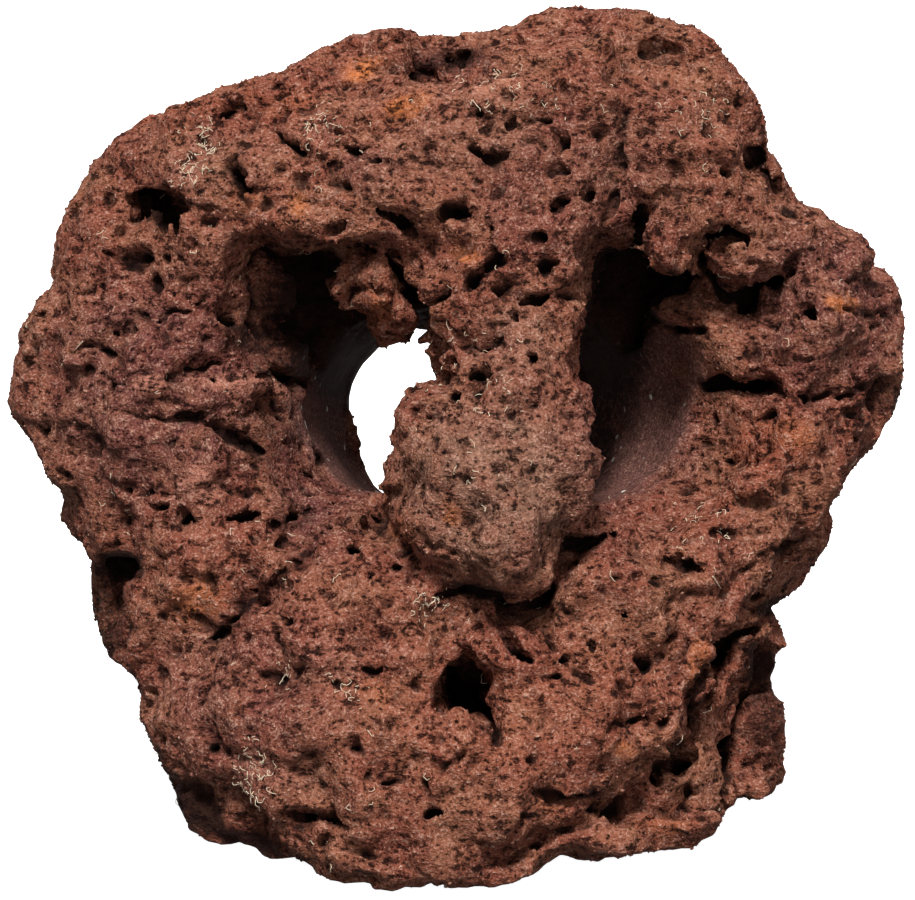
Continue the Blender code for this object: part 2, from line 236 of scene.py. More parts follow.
# The stone's edge as it is seen from the eye point, clockwise from the left.
EDGE = (
    (-112, 13), (-111, 21), (-109, 30), (-106, 35), (-102, 42), (-100, 53), (-96.5, 62), (-91, 71.5),
    (-85, 78), (-79, 83), (-75, 85.5), (-68, 86.5), (-59, 90), (-51, 93), (-44, 94), (-37, 98.5),
    (-27, 103), (-19, 105), (-14, 105), (-9, 103.5), (1, 104), (9, 104.5), (14, 107), (22, 110),
    (36, 111), (47, 110), (53, 107), (59, 106), (64, 102), (69, 95.5), (74, 89), (76.5, 82),
    (77.5, 77), (77, 75.5), (80, 71), (83.5, 65), (84.5, 62), (90, 60), (95, 56), (103, 52.5),
    (107.5, 45), (110.5, 38), (111.5, 31), (111, 25), (111, 17), (108.5, 9), (104.5, 2), (98.5, -4),
    (96, -10), (95.5, -16), (93, -22), (89, -28), (85, -34.5), (81.6, -38), (77.4, -39.2),
    (78.9, -41.5), (80.6, -44.5), (81.9, -47), (81.9, -49), (79.1, -50.8), (79.9, -55), (80.1, -59.8),
    (81.1, -65), (81.9, -70.2), (81.4, -76.5), (81.9, -80.5), (80.8, -85), (78.1, -87.8), (69.4, -90),
    (66.1, -92.5), (63.6, -97), (58.1, -99), (45.6, -100.5), (35.6, -102), (25.6, -104), (18.1, -106.8),
    (10.6, -108.8), (-1.9, -109.2), (-14.4, -109.4), (-21.1, -110), (-26.8, -108), (-34.4, -106.2),
    (-39.6, -103.8), (-48.1, -102), (-53.2, -99), (-58.4, -99.6), (-62.6, -97.8), (-67.8, -93.5),
    (-70, -86), (-74.6, -76.4), (-79, -66), (-79.4, -58), (-83.1, -53.8), (-86.6, -52), (-90, -43),
    (-91.2, -33), (-92.9, -24.2), (-96, -20.5), (-99.5, -16), (-99.5, -12), (-102, -7), (-105, 0),
    (-106.5, 3), (-111, 8.5),
)

# Hollows that are cut before the bosses are added.
HOLLOWS = {
    "under the left brow": Hollow((
        (-50, 50), (-40, 51.2), (-28, 52.5), (-18, 50.5), (-11.5, 44.8), (-7.5, 40), (-7, 30), (-20, 22),
        (-37, 20), (-37, 26), (-44, 32), (-40, 37.5), (-43, 44)), floor=-24),
    "mouth of the hollow": Hollow((
        (-52, 47), (-46, 50), (-36, 45), (-30, 36), (-36, 24), (-46, 24), (-54, 33)), floor=4, blend=9),
    "under the right brow": Hollow((
        (34.9, 50.8), (39.4, 52.5), (44.9, 53.5), (45.6, 50.8), (48.1, 49.5), (50.6, 47.5), (52.6, 45.5),
        (57.1, 45.5), (59.1, 43.8), (58.1, 40), (53.6, 36.2), (48.1, 32.5), (45.6, 26.2), (35.6, 22.5),
        (31.9, 22.5)), floor=-24),
    "notch of the left shoulder": Hollow((
        (-90, -27.5), (-86.9, -25.5), (-81.9, -26.5), (-78.9, -28.5), (-81.4, -31.2), (-84.9, -32),
        (-88.4, -30.5)), depth=14),
    "column behind the left shoulder": Hollow((
        (-96, -27), (-88, -28), (-81.9, -31.2), (-84.1, -40.5), (-82.9, -45), (-82.4, -52), (-80.4, -54.5),
        (-84.4, -58), (-92, -54), (-98, -38)), floor=-10, blend=2),
    "under the lower left": Hollow((
        (-80, -78), (-70.4, -84.5), (-66, -90.5), (-61.5, -93.5), (-57.6, -97), (-55.5, -102), (-56, -112),
        (-80, -112)), floor=30, blend=4),
    "low band of the lower left": Hollow((
        (-58.5, -93.8), (-49, -97), (-39.5, -99), (-32, -103.5), (-31, -114), (-60, -114)),
        floor=48, blend=3),
    "behind the lower mass": Hollow((
        (64.5, -47.5), (63.6, -56), (61.5, -61), (58.5, -65.5), (56.5, -72), (52.5, -77.5), (48.5, -80.5),
        (56, -83), (62, -80), (68, -72), (72, -62), (75, -52), (77, -43), (71, -43)),
        floor=20, blend=1.5),
    "pit of the lower mass": Hollow((
        (-3.6, -51), (-0.6, -51.8), (2.4, -53.6), (4.5, -54.6), (4.8, -56.6), (6.8, -59), (8.8, -61.6),
        (11.4, -65.6), (12.4, -69.4), (10.6, -71), (7.4, -68.6), (4.6, -66.4), (1.7, -64.8),
        (-1.4, -62.8), (-3.4, -60.6), (-4.3, -58), (-4.1, -54.2)), depth=22),
    "beside the pillar": Hollow((
        (-19.4, 14.5), (-13.4, 15.2), (-10.4, 18.4), (-8.4, 21.2), (-5.8, 21.8), (-3.5, 19.8), (-4.2, 17.2),
        (-5.6, 15.8), (-9.6, 14.8), (-12, 13.2), (-12.8, 10.5), (-13.6, 7.5), (-14, 3.4), (-17.2, 2.2),
        (-21, 7.5)), floor=-60, blend=0.8),
    "undercut of the knob": Hollow((
        (-0.6, -34.8), (3.1, -36.2), (8.1, -37.6), (12.6, -38), (11.9, -39), (6.9, -38.8), (1.9, -37.6),
        (-0.6, -36.2)), depth=6),
}

# Lumps with a drawn edge: that edge, how far out front and back are, the crown's rounding and the blend.
BOSSES = {
    "stem of the nodule": Boss(((-29, 54), (-19.5, 54), (-18.5, 46), (-26, 44)), 12, -14),
    "nodule": Boss((
        (-30.2, 40.5), (-28.6, 42.6), (-26.8, 47.5), (-22, 48.8), (-18.4, 46), (-16.4, 41), (-15.4, 37),
        (-18.5, 35), (-23, 35.4), (-25.6, 38), (-28.4, 37.6)), 31, 0, 6, 6),
    "tip of the nodule": Boss((
        (-22.4, 38), (-15, 38), (-12.4, 34.5), (-13.8, 31.4), (-16.6, 30.6), (-19, 29.2), (-20.6, 31)),
        28, 2, 5, 4.5),
    "overhang of the right brow": Boss((
        (45.6, 61.5), (49.4, 63), (55.6, 62), (61.6, 59.5), (62.4, 56), (60.6, 52.6), (59.6, 49.8),
        (56.8, 49.2), (53.4, 47.8), (50.4, 48.8), (49, 51), (48.2, 54.5), (48.2, 58)),
        38, 10, 6, 6),
    "shelf of the right lobe": Boss((
        (62.1, 51), (64.6, 52.2), (67.1, 53.2), (70.1, 52.8), (73.1, 52.2), (79.6, 53), (83.1, 50),
        (82.4, 44.5), (77.6, 42.8), (72.9, 41.2), (68.9, 41.8), (64.6, 43.5), (63.6, 45), (63.9, 48.5)),
        28, 4, 5, 5),
    "ridge in the right opening": Boss((
        (49.6, 34.4), (53.8, 36.6), (57.4, 39.6), (59.6, 42), (63.4, 42.2), (66.6, 40), (68.6, 37),
        (70, 32.5), (66, 31), (60, 32.4), (54, 32.8)), 14, -16, 6, 6),
    "upper rim of the lower mass": Boss((
        (58, -46), (62.9, -48), (63.4, -53), (62.6, -56), (61.2, -60), (58, -64.5), (57, -67.5),
        (55.5, -72), (50, -72), (52, -62)), 43, 18, 4, 4),
    "lower rim of the lower mass": Boss((
        (56.5, -68), (55.8, -72), (52.6, -76), (48.6, -79.4), (43, -86), (37.2, -90.8), (33, -91),
        (38, -84), (46, -72)), 46, 24, 4, 4),
    "second ledge": Boss((
        (75.2, -43.5), (74.4, -47.5), (72.2, -50.5), (72.4, -55), (69.8, -58), (69.9, -62.5), (66.8, -66.5),
        (66.2, -71.5), (63.4, -75), (64.2, -78.5), (67, -82), (66, -86.5), (67.2, -90), (63, -93),
        (57, -92), (58, -82), (57.5, -76), (60.4, -67.5), (64.5, -60.5), (67.2, -54), (70, -48),
        (72.5, -44)), 26, -10, 6, 5, 2),
    "top of the third layer": Boss((
        (76.6, -41.5), (78.9, -41.8), (80.4, -44.5), (81.9, -47), (81.9, -48.8), (79.1, -50.5),
        (76.6, -50), (75.6, -46.5), (75.6, -43)), 6, -20, 3, 3, 1),
    "corner of the foot": Boss((
        (66.6, -78.5), (72, -79.5), (76, -78), (82.2, -80.5), (82.2, -84), (80.8, -86.4), (78.1, -89.2),
        (73.5, -89.4), (69.4, -91.4), (66.1, -94), (62.6, -90)), 15, -20, 6, 6),
    "toe of the foot": Boss((
        (34, -93), (48, -91.5), (60.6, -90), (66.3, -92.8), (63.8, -97.8), (58.1, -99.8), (45.6, -101.4),
        (34.6, -103)), 39, 8, 6, 6),
    "sole of the lower mass": Boss((
        (6, -100.5), (18, -98.5), (36, -94), (46, -94.5), (46, -101.6), (36.6, -103.4), (25.6, -105.8),
        (18.1, -108.2), (10.6, -110), (4, -110)), 52, 24, 6, 5),
    "left end of the sole": Boss((
        (-31, -100), (-12, -102), (-12, -110), (-21.1, -110.6), (-27.2, -108.6), (-33, -106.8)),
        57, 30, 5, 6),
    "lobe beside the right brow": Boss((
        (33.8, 64), (39.4, 68), (45, 66), (46.2, 61.4), (44.8, 57), (43.4, 53.2), (41, 52.6),
        (37.6, 53.6), (34.8, 55)), 34, 0, 5, 5),
    "lumps beside the left hollow": Boss((
        (-58.1, 47), (-48.9, 46.4), (-45.4, 43.4), (-41.1, 40), (-40.2, 37), (-42, 34.2), (-48.9, 33),
        (-55.6, 34.5)), 7, -12, 6, 8, 3),
    "left foot of the pillar": Boss((
        (-19.6, -9.6), (-18.8, -5.5), (-17.4, -1.4), (-15.2, 3), (-12, 5), (-10, -2), (-12, -11)),
        44, 20, 3, 4, 1),
    "nub of the pillar": Boss((
        (-5, 31), (-5.4, 27.6), (-7.6, 24.8), (-5.4, 22.6), (-3.6, 20.4), (1, 19), (2, 31)),
        38, 18, 2, 2.5, 1),
    "back of the left column": Boss((
        (-91.5, -28), (-89.5, -43), (-86, -52), (-80, -56), (-71, -58), (-71, -28)),
        -16, -52, 5, 6),
    "foot of the left column": Boss((
        (-92.4, -27.5), (-91.4, -33), (-90.2, -43), (-86.8, -52.2), (-83.1, -54.2), (-80.6, -53),
        (-81.9, -47.5), (-83.9, -40), (-85.6, -33.8), (-89.4, -27.5)), -6, -45, 4, 5),
    "low edge of the lower left": Boss((
        (-70.2, -84), (-68.2, -93.7), (-62.8, -98), (-58.4, -99.8), (-53.2, -99.4), (-48.1, -102.2),
        (-46, -96), (-58, -88)), 27, -8, 5, 6),
    "lip of the left bore": Boss((
        (-29.9, 19.5), (-26.9, 15), (-26.6, 9.5), (-25.9, 3.5), (-24.4, -2), (-22.1, -6.5), (-19.9, -9.5),
        (-16.4, -10.5), (-16.9, -13.8), (-22.9, -13.8), (-28.1, -8.8), (-30.9, 0), (-31.9, 10)),
        -50, -62, 1, 2),
}

# Gaps that are cut after the relief, so that no clot closes them.
GAPS = {
    "right side of the pillar": Hollow((
        (30.4, 25.5), (30, 19.5), (31.4, 13.4), (33.4, 8), (31.6, 1.8), (35, -2), (40, -3), (45, 2),
        (45, 24), (37, 27)), floor=-4, blend=0.8),
    "over the shelf": Hollow((
        (62.1, 54.5), (63.6, 57), (66.1, 58.5), (69.6, 58.2), (73.1, 57), (73.9, 54.5), (72.6, 52.8),
        (70.1, 53.2), (67.1, 53.8), (64.6, 52.8), (62.6, 51)), floor=6),
    "between the brow and the shelf": Hollow((
        (60.9, 51), (62.6, 51.5), (63.9, 48.5), (63.6, 45), (61.6, 44), (60.1, 46)), floor=6),
    "hook beside the overhang": Hollow((
        (45.4, 56.5), (46.6, 58.2), (47.4, 56.5), (46.8, 53.6), (47.8, 51), (46.2, 49.8), (44.8, 51),
        (45, 53.6)), floor=6),
    "under the shelf": Hollow((
        (61.6, 45.5), (64.6, 43.2), (68.6, 41.5), (72.6, 41), (77.1, 42.8), (82.1, 44), (83.6, 42.5),
        (81.6, 38.5), (79.6, 37.5), (77.6, 38.5), (76.6, 36), (75.1, 33), (72.6, 31.5), (70.1, 33),
        (69.6, 37), (66.6, 38.5), (63.1, 40.5), (61.1, 42.5)), floor=0),
    "slit of the right lobe": Hollow((
        (60.6, 16.5), (63.6, 18.5), (67.1, 19.8), (71.1, 18.5), (76.1, 19), (80.1, 17.5), (79.6, 15.5),
        (76.6, 14), (73.1, 13), (69.1, 13.2), (65.1, 13.8), (62.1, 14)), floor=-6),
    "side scoop of the right lobe": Hollow((
        (101.6, 13), (103.6, 16.5), (106.6, 18.5), (110.1, 19.5), (113, 16), (112, 11.5), (109, 8),
        (104.1, 8.5), (102.1, 10.5)), floor=0, blend=2),
    "gap under the right shoulder": Hollow((
        (84, -35.5), (77.4, -38.6), (73.6, -40.5), (71.1, -43), (67.1, -47), (63.6, -49.5), (63.8, -53),
        (63.1, -55.8), (65.6, -57), (67.6, -53.5), (68.1, -50.5), (70.1, -47.5), (73.1, -44.5),
        (76.5, -41.2), (84, -38.5)), floor=-4, blend=0.8),
    "gap behind the lower mass": Hollow((
        (54.6, -77.6), (56.6, -76.8), (58.6, -78.5), (59.1, -81), (56.6, -82.5), (53.6, -81.5),
        (52.2, -79.5)), floor=8, blend=0.8),
    "gap behind the second ledge": Hollow((
        (73.8, -47.5), (76.1, -50.2), (79.6, -51), (80.2, -54.5), (79, -58.5), (76.6, -60), (73.6, -60.5),
        (71.6, -63), (70.2, -66.2), (69.8, -63.6), (71.1, -60), (72.2, -55.5), (73.1, -51.2)),
        floor=-8, blend=1.2),
}

# How each bore's mouth widens on its outer side: the side, how much, and how far out it starts and ends.
FLARES = ((-1, 10, (-22, 30)), (1, 8, (-16, 30)))

# Rows of Pit: across, up, half width, half height, depth, roll.
PITS = {
    "left brow": (
        (-72.2, 58.4, 6, 4.6, 15, -35), (-76.4, 61.4, 4.2, 3.6, 13, -30), (-77.6, 64.2, 3, 3, 9, 0),
        (-78.6, 57.8, 2.4, 1.4, 7, 0), (-68.1, 62.5, 2, 1.8, 6, 0), (-80.6, 46, 3.4, 2.6, 9, -35),
        (-84.6, 49.6, 1.8, 1, 4, 0), (-73.6, 47.3, 1.4, 1.1, 4, 0), (-69.9, 49.5, 1.6, 1.2, 4, 0),
        (-76.1, 40.5, 2, 1.2, 5, -10), (-66.4, 51.8, 2.2, 1.1, 4, 15), (-62.6, 56.8, 3.2, 0.9, 3, 12),
        (-88.1, 61, 1.4, 1, 3, 0), (-92.6, 39.5, 1.9, 0.8, 3, -30), (-89, 41, 1, 1, 3, 0),
        (-53.6, 67.3, 2.4, 4.6, 9, 30), (-56.9, 83, 2.8, 1.3, 7, 10),
    ),
    "crown": (
        (-11.4, 95, 3.8, 3, 9, 0), (-3.1, 97, 9, 2.4, 3, 8), (3, 98, 3, 1.8, 5, 15),
        (5.8, 82.8, 1.4, 1, 4, 0), (22, 80, 2, 1.4, 4, 0), (28, 76.4, 2.6, 1.4, 4, -10),
    ),
    "middle brow": (
        (-1.6, 60.3, 4.2, 1.8, 9, 0), (-15.1, 56.3, 3.3, 1.7, 8, 0), (10.4, 46.3, 3.8, 2, 10, 25),
        (6.4, 42.5, 3.4, 2, 9, 20), (12.8, 39.8, 1, 1.7, 6, -30), (12.6, 36, 0.9, 0.8, 3, 0),
        (21.3, 46.5, 1.8, 1.6, 8, 0), (20.4, 52.4, 2.1, 1.1, 6, -25), (18.9, 36.3, 1.6, 0.9, 5, 0),
        (-2.9, 38.8, 2.3, 1, 6, 5), (-4.1, 29.8, 1.6, 1.2, 5, 0), (23.9, 59.5, 1.8, 1, 4, 0),
    ),
    "pillar": (
        (18.1, 22.3, 2, 1.2, 6, 0), (4.9, 18.1, 2.5, 1.9, 9, 0), (-0.3, 13.3, 1.8, 1.3, 7, 10),
        (5.6, 13.5, 1.7, 1.2, 7, 0), (23.4, 18, 0.8, 1.7, 4, -35), (-8, 10.8, 1.3, 0.8, 4, -25),
        (-5.6, 9, 1, 0.9, 3, 0), (21.3, 10.3, 0.9, 1, 3, 0), (28.6, 8.3, 1, 0.8, 3, 0),
    ),
    "lower face": (
        (8.9, -70.8, 2.6, 1.7, 10, 15), (14.1, -50.8, 4, 1.2, 8, -18), (24.1, -47, 2, 1, 4, -20),
        (34, -47.8, 1.3, 1.2, 4, 0), (46.9, -53.3, 2, 2.4, 5, 0), (50, -45, 1.3, 1, 4, 0),
        (53, -46.5, 1.4, 1, 4, 0), (30.1, -55.5, 3, 0.9, 3, -25), (22.6, -57, 1.8, 1.5, 4, 0),
        (42.1, -60.3, 1.3, 0.8, 4, 20), (50.4, -72.5, 0.8, 1.8, 4, -35), (19.6, -76.8, 2, 0.9, 3, 40),
        (30.1, -85.3, 8.5, 1.7, 11, -3), (34.4, -90.5, 1.8, 1.4, 6, 0), (18.1, -91.5, 3.8, 1, 6, 0),
        (-18, -83.6, 2.6, 0.9, 4, 0), (-22.4, -81.5, 1.2, 0.9, 4, 0), (-26.2, -75, 2.2, 1.2, 4, -40),
        (-36, -93.8, 9, 1.1, 7, 5), (-7.5, -91.2, 3.4, 1, 5, 0), (-60, -74.4, 2.2, 3.2, 5, 20),
        (-62.5, -60, 2, 1.4, 4, 0), (-31.9, -60, 1.4, 1.4, 4, 0), (-21.2, -54.6, 2, 1.2, 4, 20),
        (-26.2, -25.6, 2, 1.8, 6, 0), (-22.5, -30.6, 2, 1.8, 6, 0), (-14.4, -30, 1.5, 1.4, 4, 0),
    ),
    "under the knob": (
        (21.4, -36, 2.2, 3.6, 14, -20), (48.9, -33.5, 1.9, 1.4, 4, 0), (39.1, -33.3, 1.5, 1.2, 4, 0),
        (56.6, -28.3, 2.8, 1.3, 6, -10), (56.6, -79, 2, 1.5, 8, 0), (60.1, -84.8, 1.3, 1.5, 4, 0),
    ),
    "left scoop": (
        (-67.2, 7.8, 4.6, 1.9, 8, -12), (-57.4, 3.2, 4.6, 2, 8, -18), (-52.4, 1, 4, 1.8, 8, -14),
        (-35, -2.4, 2.6, 1.8, 6, -30), (-38, -5.6, 1.4, 1, 4, 0), (-51.5, -4.4, 1.8, 1, 5, 0),
        (-54, -17, 3, 1.6, 6, -10), (-67, -15.2, 3, 1.2, 6, -20), (-61.9, 17.5, 1.4, 1.2, 4, 0),
        (-44, 18.2, 7.5, 0.8, 4, 0), (-41.9, -17.5, 3.4, 2.4, 6, 0), (-47, -19.5, 2.4, 1.8, 5, 20),
        (-37, -16, 1.8, 1.4, 4, 0), (-65.6, -16.9, 3.6, 1.6, 5, 0), (-73.8, -14, 3.2, 1, 4, 5),
        (-58, 31, 3, 1.8, 6, 0),
    ),
    "right lobe": (
        (85.6, 32.8, 2.4, 1, 5, -10), (81.6, 32, 1, 0.8, 3, 0), (82.5, 59, 3, 1.5, 5, -20),
        (75, 73, 2.4, 3.4, 8, 10), (98.1, 8.8, 2.2, 1.2, 5, 0), (77, 67, 1.4, 3, 6, 10),
        (73.8, 2, 1, 0.8, 3, 0),
    ),
    "right shoulder": (
        (57.5, -27.5, 2.8, 1.2, 5, 0), (67, -22.5, 3.6, 1.2, 5, -10), (33.4, -24, 3.2, 1.4, 5, 0),
        (81.2, -25, 4.2, 1, 5, 25),
    ),
}

# Cracks, steps and gaps: the line that each follows, its half width and its depth.
CREASES = {
    "crack over the pillar": Crease(((20.4, 37), (33, 39)), 0.55, 4.5),
    "diagonal crack of the pillar": Crease(((19.1, 35.6), (16.9, 33.3), (14.6, 30.2)), 1, 5),
    "first groove of the pillar": Crease(((0.6, 26.5), (5, 27.3), (9.5, 28.8)), 0.6, 2.5),
    "second groove of the pillar": Crease(((2.5, 25), (6, 25.2), (8.5, 27)), 0.5, 2.5),
    "slit of the middle brow": Crease(((24, 59.8), (28.6, 62.5), (32, 65)), 0.9, 5),
    "crease beside the right brow": Crease(
        ((42.5, 84), (41.4, 76), (39, 68), (37, 63)), 0.7, 2.5),
    "step of the left shoulder": Crease(
        ((-62.5, -49.5), (-56.6, -43.9), (-51.6, -38.8), (-43, -31), (-37, -25.5), (-31.9, -22.5)),
        0.9, 6),
    "small crease of the lower face": Crease(((38, -68.5), (42.4, -67.5), (46.5, -66)), 0.8, 4),
    "crease under the right shoulder": Crease(((76.5, -27.5), (81, -25), (85.5, -22.5)), 0.8, 4),
    "groove beside the overhang": Crease(((44.9, 60.5), (45.6, 56), (46, 51.5)), 1, 7),
    "groove under the ridge": Crease(((50.5, 31.4), (55, 30.4), (60, 29.8)), 1, 5),
    "crack of the right lobe": Crease(
        ((80.6, 15.2), (84.4, 14.8), (87.9, 12.5), (92.9, 13.8), (97.9, 13), (101.9, 16.5)), 0.8, 4.5),
    "upper crack of the right lobe": Crease(((97.9, 42.8), (103, 41.5), (109, 40.5)), 0.6, 3),
    "cleft of the right lobe": Crease(((98, 36), (101, 34.5), (106, 32.8)), 1, 4),
    "groove over the left bulge": Crease(((-54.4, 20.8), (-47, 19.5), (-38, 17)), 0.9, 4),
    "groove of the left underside": Crease(((-40, -91.8), (-34, -93), (-29, -93.3)), 1, 6),
    "crack over the left hollow": Crease(((-33.5, 70.9), (-31, 67.4), (-29.6, 65)), 0.8, 3.5),
    "lower crack over the left hollow": Crease(((-25, 61.6), (-20.5, 58.8), (-14, 56.8)), 0.8, 4),
    "edge of the lower mass": Crease(
        ((65, -50.6), (62.1, -53.8), (58.6, -61.5), (56.6, -71.5), (53.1, -77), (48.9, -81.3)),
        1.3, 8),
    "edge of the second ledge": Crease(
        ((74.1, -44), (71.9, -52.8), (70.9, -59.3), (67.6, -69.3), (66.4, -74.8), (66.9, -81.3),
         (66.4, -87.5)), 1, 7),
    "small crack of the left brow": Crease(((-42.6, 78.4), (-40, 75), (-38, 72.6)), 0.8, 4),
    "gap right of the knob": Crease(((27.6, -22.4), (32, -23.2), (36.6, -22.6)), 1.3, 6),
    "notch beside the right brow": Crease(((72.6, 75.5), (76.4, 70.5), (80, 65.5)), 0.9, 5),
    "upper flow line of the scoop": Crease(
        ((-92, 31), (-82, 32.5), (-72, 35), (-63.5, 38.5)), 0.6, 1.8),
    "second flow line": Crease(((-96, 24), (-84, 25.5), (-72, 28), (-62, 31)), 0.6, 1.8),
    "third flow line": Crease(((-90, 17), (-78, 18), (-66, 21), (-57, 22.5)), 0.7, 2.2),
    "crack over the bulge": Crease(((-51, 20.5), (-45, 18.6), (-38.4, 16.4)), 1.1, 5),
    "fourth flow line": Crease(((-86, 8.5), (-76, 8), (-64, 10.5), (-56, 11)), 0.6, 1.8),
    "fifth flow line": Crease(((-98, 6), (-90, 3.5), (-80, 1.5), (-71, 0.5)), 0.6, 1.8),
    "lower flow line": Crease(((-88, -9), (-76, -10.5), (-62, -10), (-52, -12)), 0.6, 2),
    "arc of the right lobe": Crease(
        ((67, -0.5), (70.5, -7.5), (78, -9.8), (84, -10.5)), 0.6, 2.2),
    "fissure of the right lobe": Crease(((99.5, 8), (99, 3), (101.5, -0.5)), 0.8, 4),
    "under the knob": Crease(((-2.4, -33.2), (3, -34.6), (9, -35.8), (15, -36.4)), 1.3, 6),
}

# Rows of Clot: across, up, radius, proud.
CLOTS = {
    "nodule": (
        (-27.6, 46, 1.8, 1.2), (-24.6, 47.2, 1.7, 1.1), (-21.4, 47.4, 1.8, 1.2), (-26.6, 43.2, 1.6, 1.1),
        (-22.8, 44.2, 1.9, 1.3), (-19.2, 44, 1.6, 1), (-29, 40.2, 1.8, 1.4), (-25.4, 40.4, 1.5, 1),
        (-21.6, 41, 1.8, 1.3), (-17.6, 40.4, 1.7, 1.2), (-26.8, 38, 1.4, 1.1), (-22.4, 37.6, 1.6, 1.1),
        (-18.8, 37, 1.8, 1.3), (-15.6, 36.4, 1.5, 1.1), (-21, 34.2, 1.6, 1.1), (-17.4, 33.8, 1.7, 1.2),
        (-14.6, 33.4, 1.4, 1), (-21.4, 31.2, 1.6, 1.2), (-18.2, 31, 1.3, 1),
    ),
    "left scoop": (
        (-77.5, 16, 4, 1.2), (-56.4, 15.8, 3.6, 1.5), (-51, 15.4, 3.8, 1.8), (-45.6, 14.8, 3.4, 1.6),
        (-41, 14.4, 2.6, 1.2), (-63.8, -5.6, 3.6, 1.4), (-72, -6, 4, 1), (-49, 37.5, 3, 1.6),
        (-44, 39.5, 2.6, 1.4), (-46, 34.5, 2.8, 1.4),
    ),
    "knob": ((8, -23.5, 9, 1.8), (-2, -21, 7, 1.2), (15, -20, 6, 1.2)),
    "bulges of the scoop": ((-76.8, 15.8, 4.2, 1.4), (-64.2, -8, 5.4, 1.6)),
    "right brow": (
        (51, 58.5, 2.6, 1.2), (56.5, 58, 2.8, 1.2), (59, 53.5, 2.4, 1.2), (53, 52.5, 2.8, 1.4),
        (50.5, 47.8, 1.8, 1.2), (55, 47.6, 2, 1.2), (58.6, 48.6, 1.8, 1.2),
    ),
    "shelf": (
        (66.5, 50, 2.4, 1.2), (71, 49.5, 2.4, 1.2), (75.5, 48.8, 2.6, 1.2), (79.5, 48, 2.2, 1),
        (68.5, 44.6, 1.8, 1.2), (72.8, 43.6, 1.8, 1.2), (77, 45, 1.9, 1.2),
    ),
}

# Where the stone is more ragged than elsewhere: rows of Spot.
RAGGED = (
    (-22, 40, 9, 11, 0, 1.5), (55, 53, 9, 9), (73, 47, 11, 6), (60.5, 37, 10, 6, 0, 1.3),
    (-60, 3, 16, 8, -10, 0.8), (-42, -17.5, 8, 5, 0, 0.9), (-48, 36, 6, 7, 0, 0.8),
    (3.5, -60, 10, 11, -45, 0.8), (69, -60, 6, 18, -20, 0.6), (-83, -38, 6, 14, 0, 0.5),
    (10, 42, 8, 8, 0, 0.6), (-73, 58, 9, 8, 0, 0.8), (-8, 95, 12, 5, 0, 0.8), (90, 10, 12, 6, 0, 0.6),
    (-6, 28, 6, 18, 0, 0.8), (31, 10, 5, 20, 0, 0.8), (-2, 97, 14, 5, 0, 1.3), (4, -34, 14, 5, 0, 0.8),
    (40, 56, 7, 7, 0, 0.8),
)


# --- the field that the skin is carved in --------------------------------------------------------------


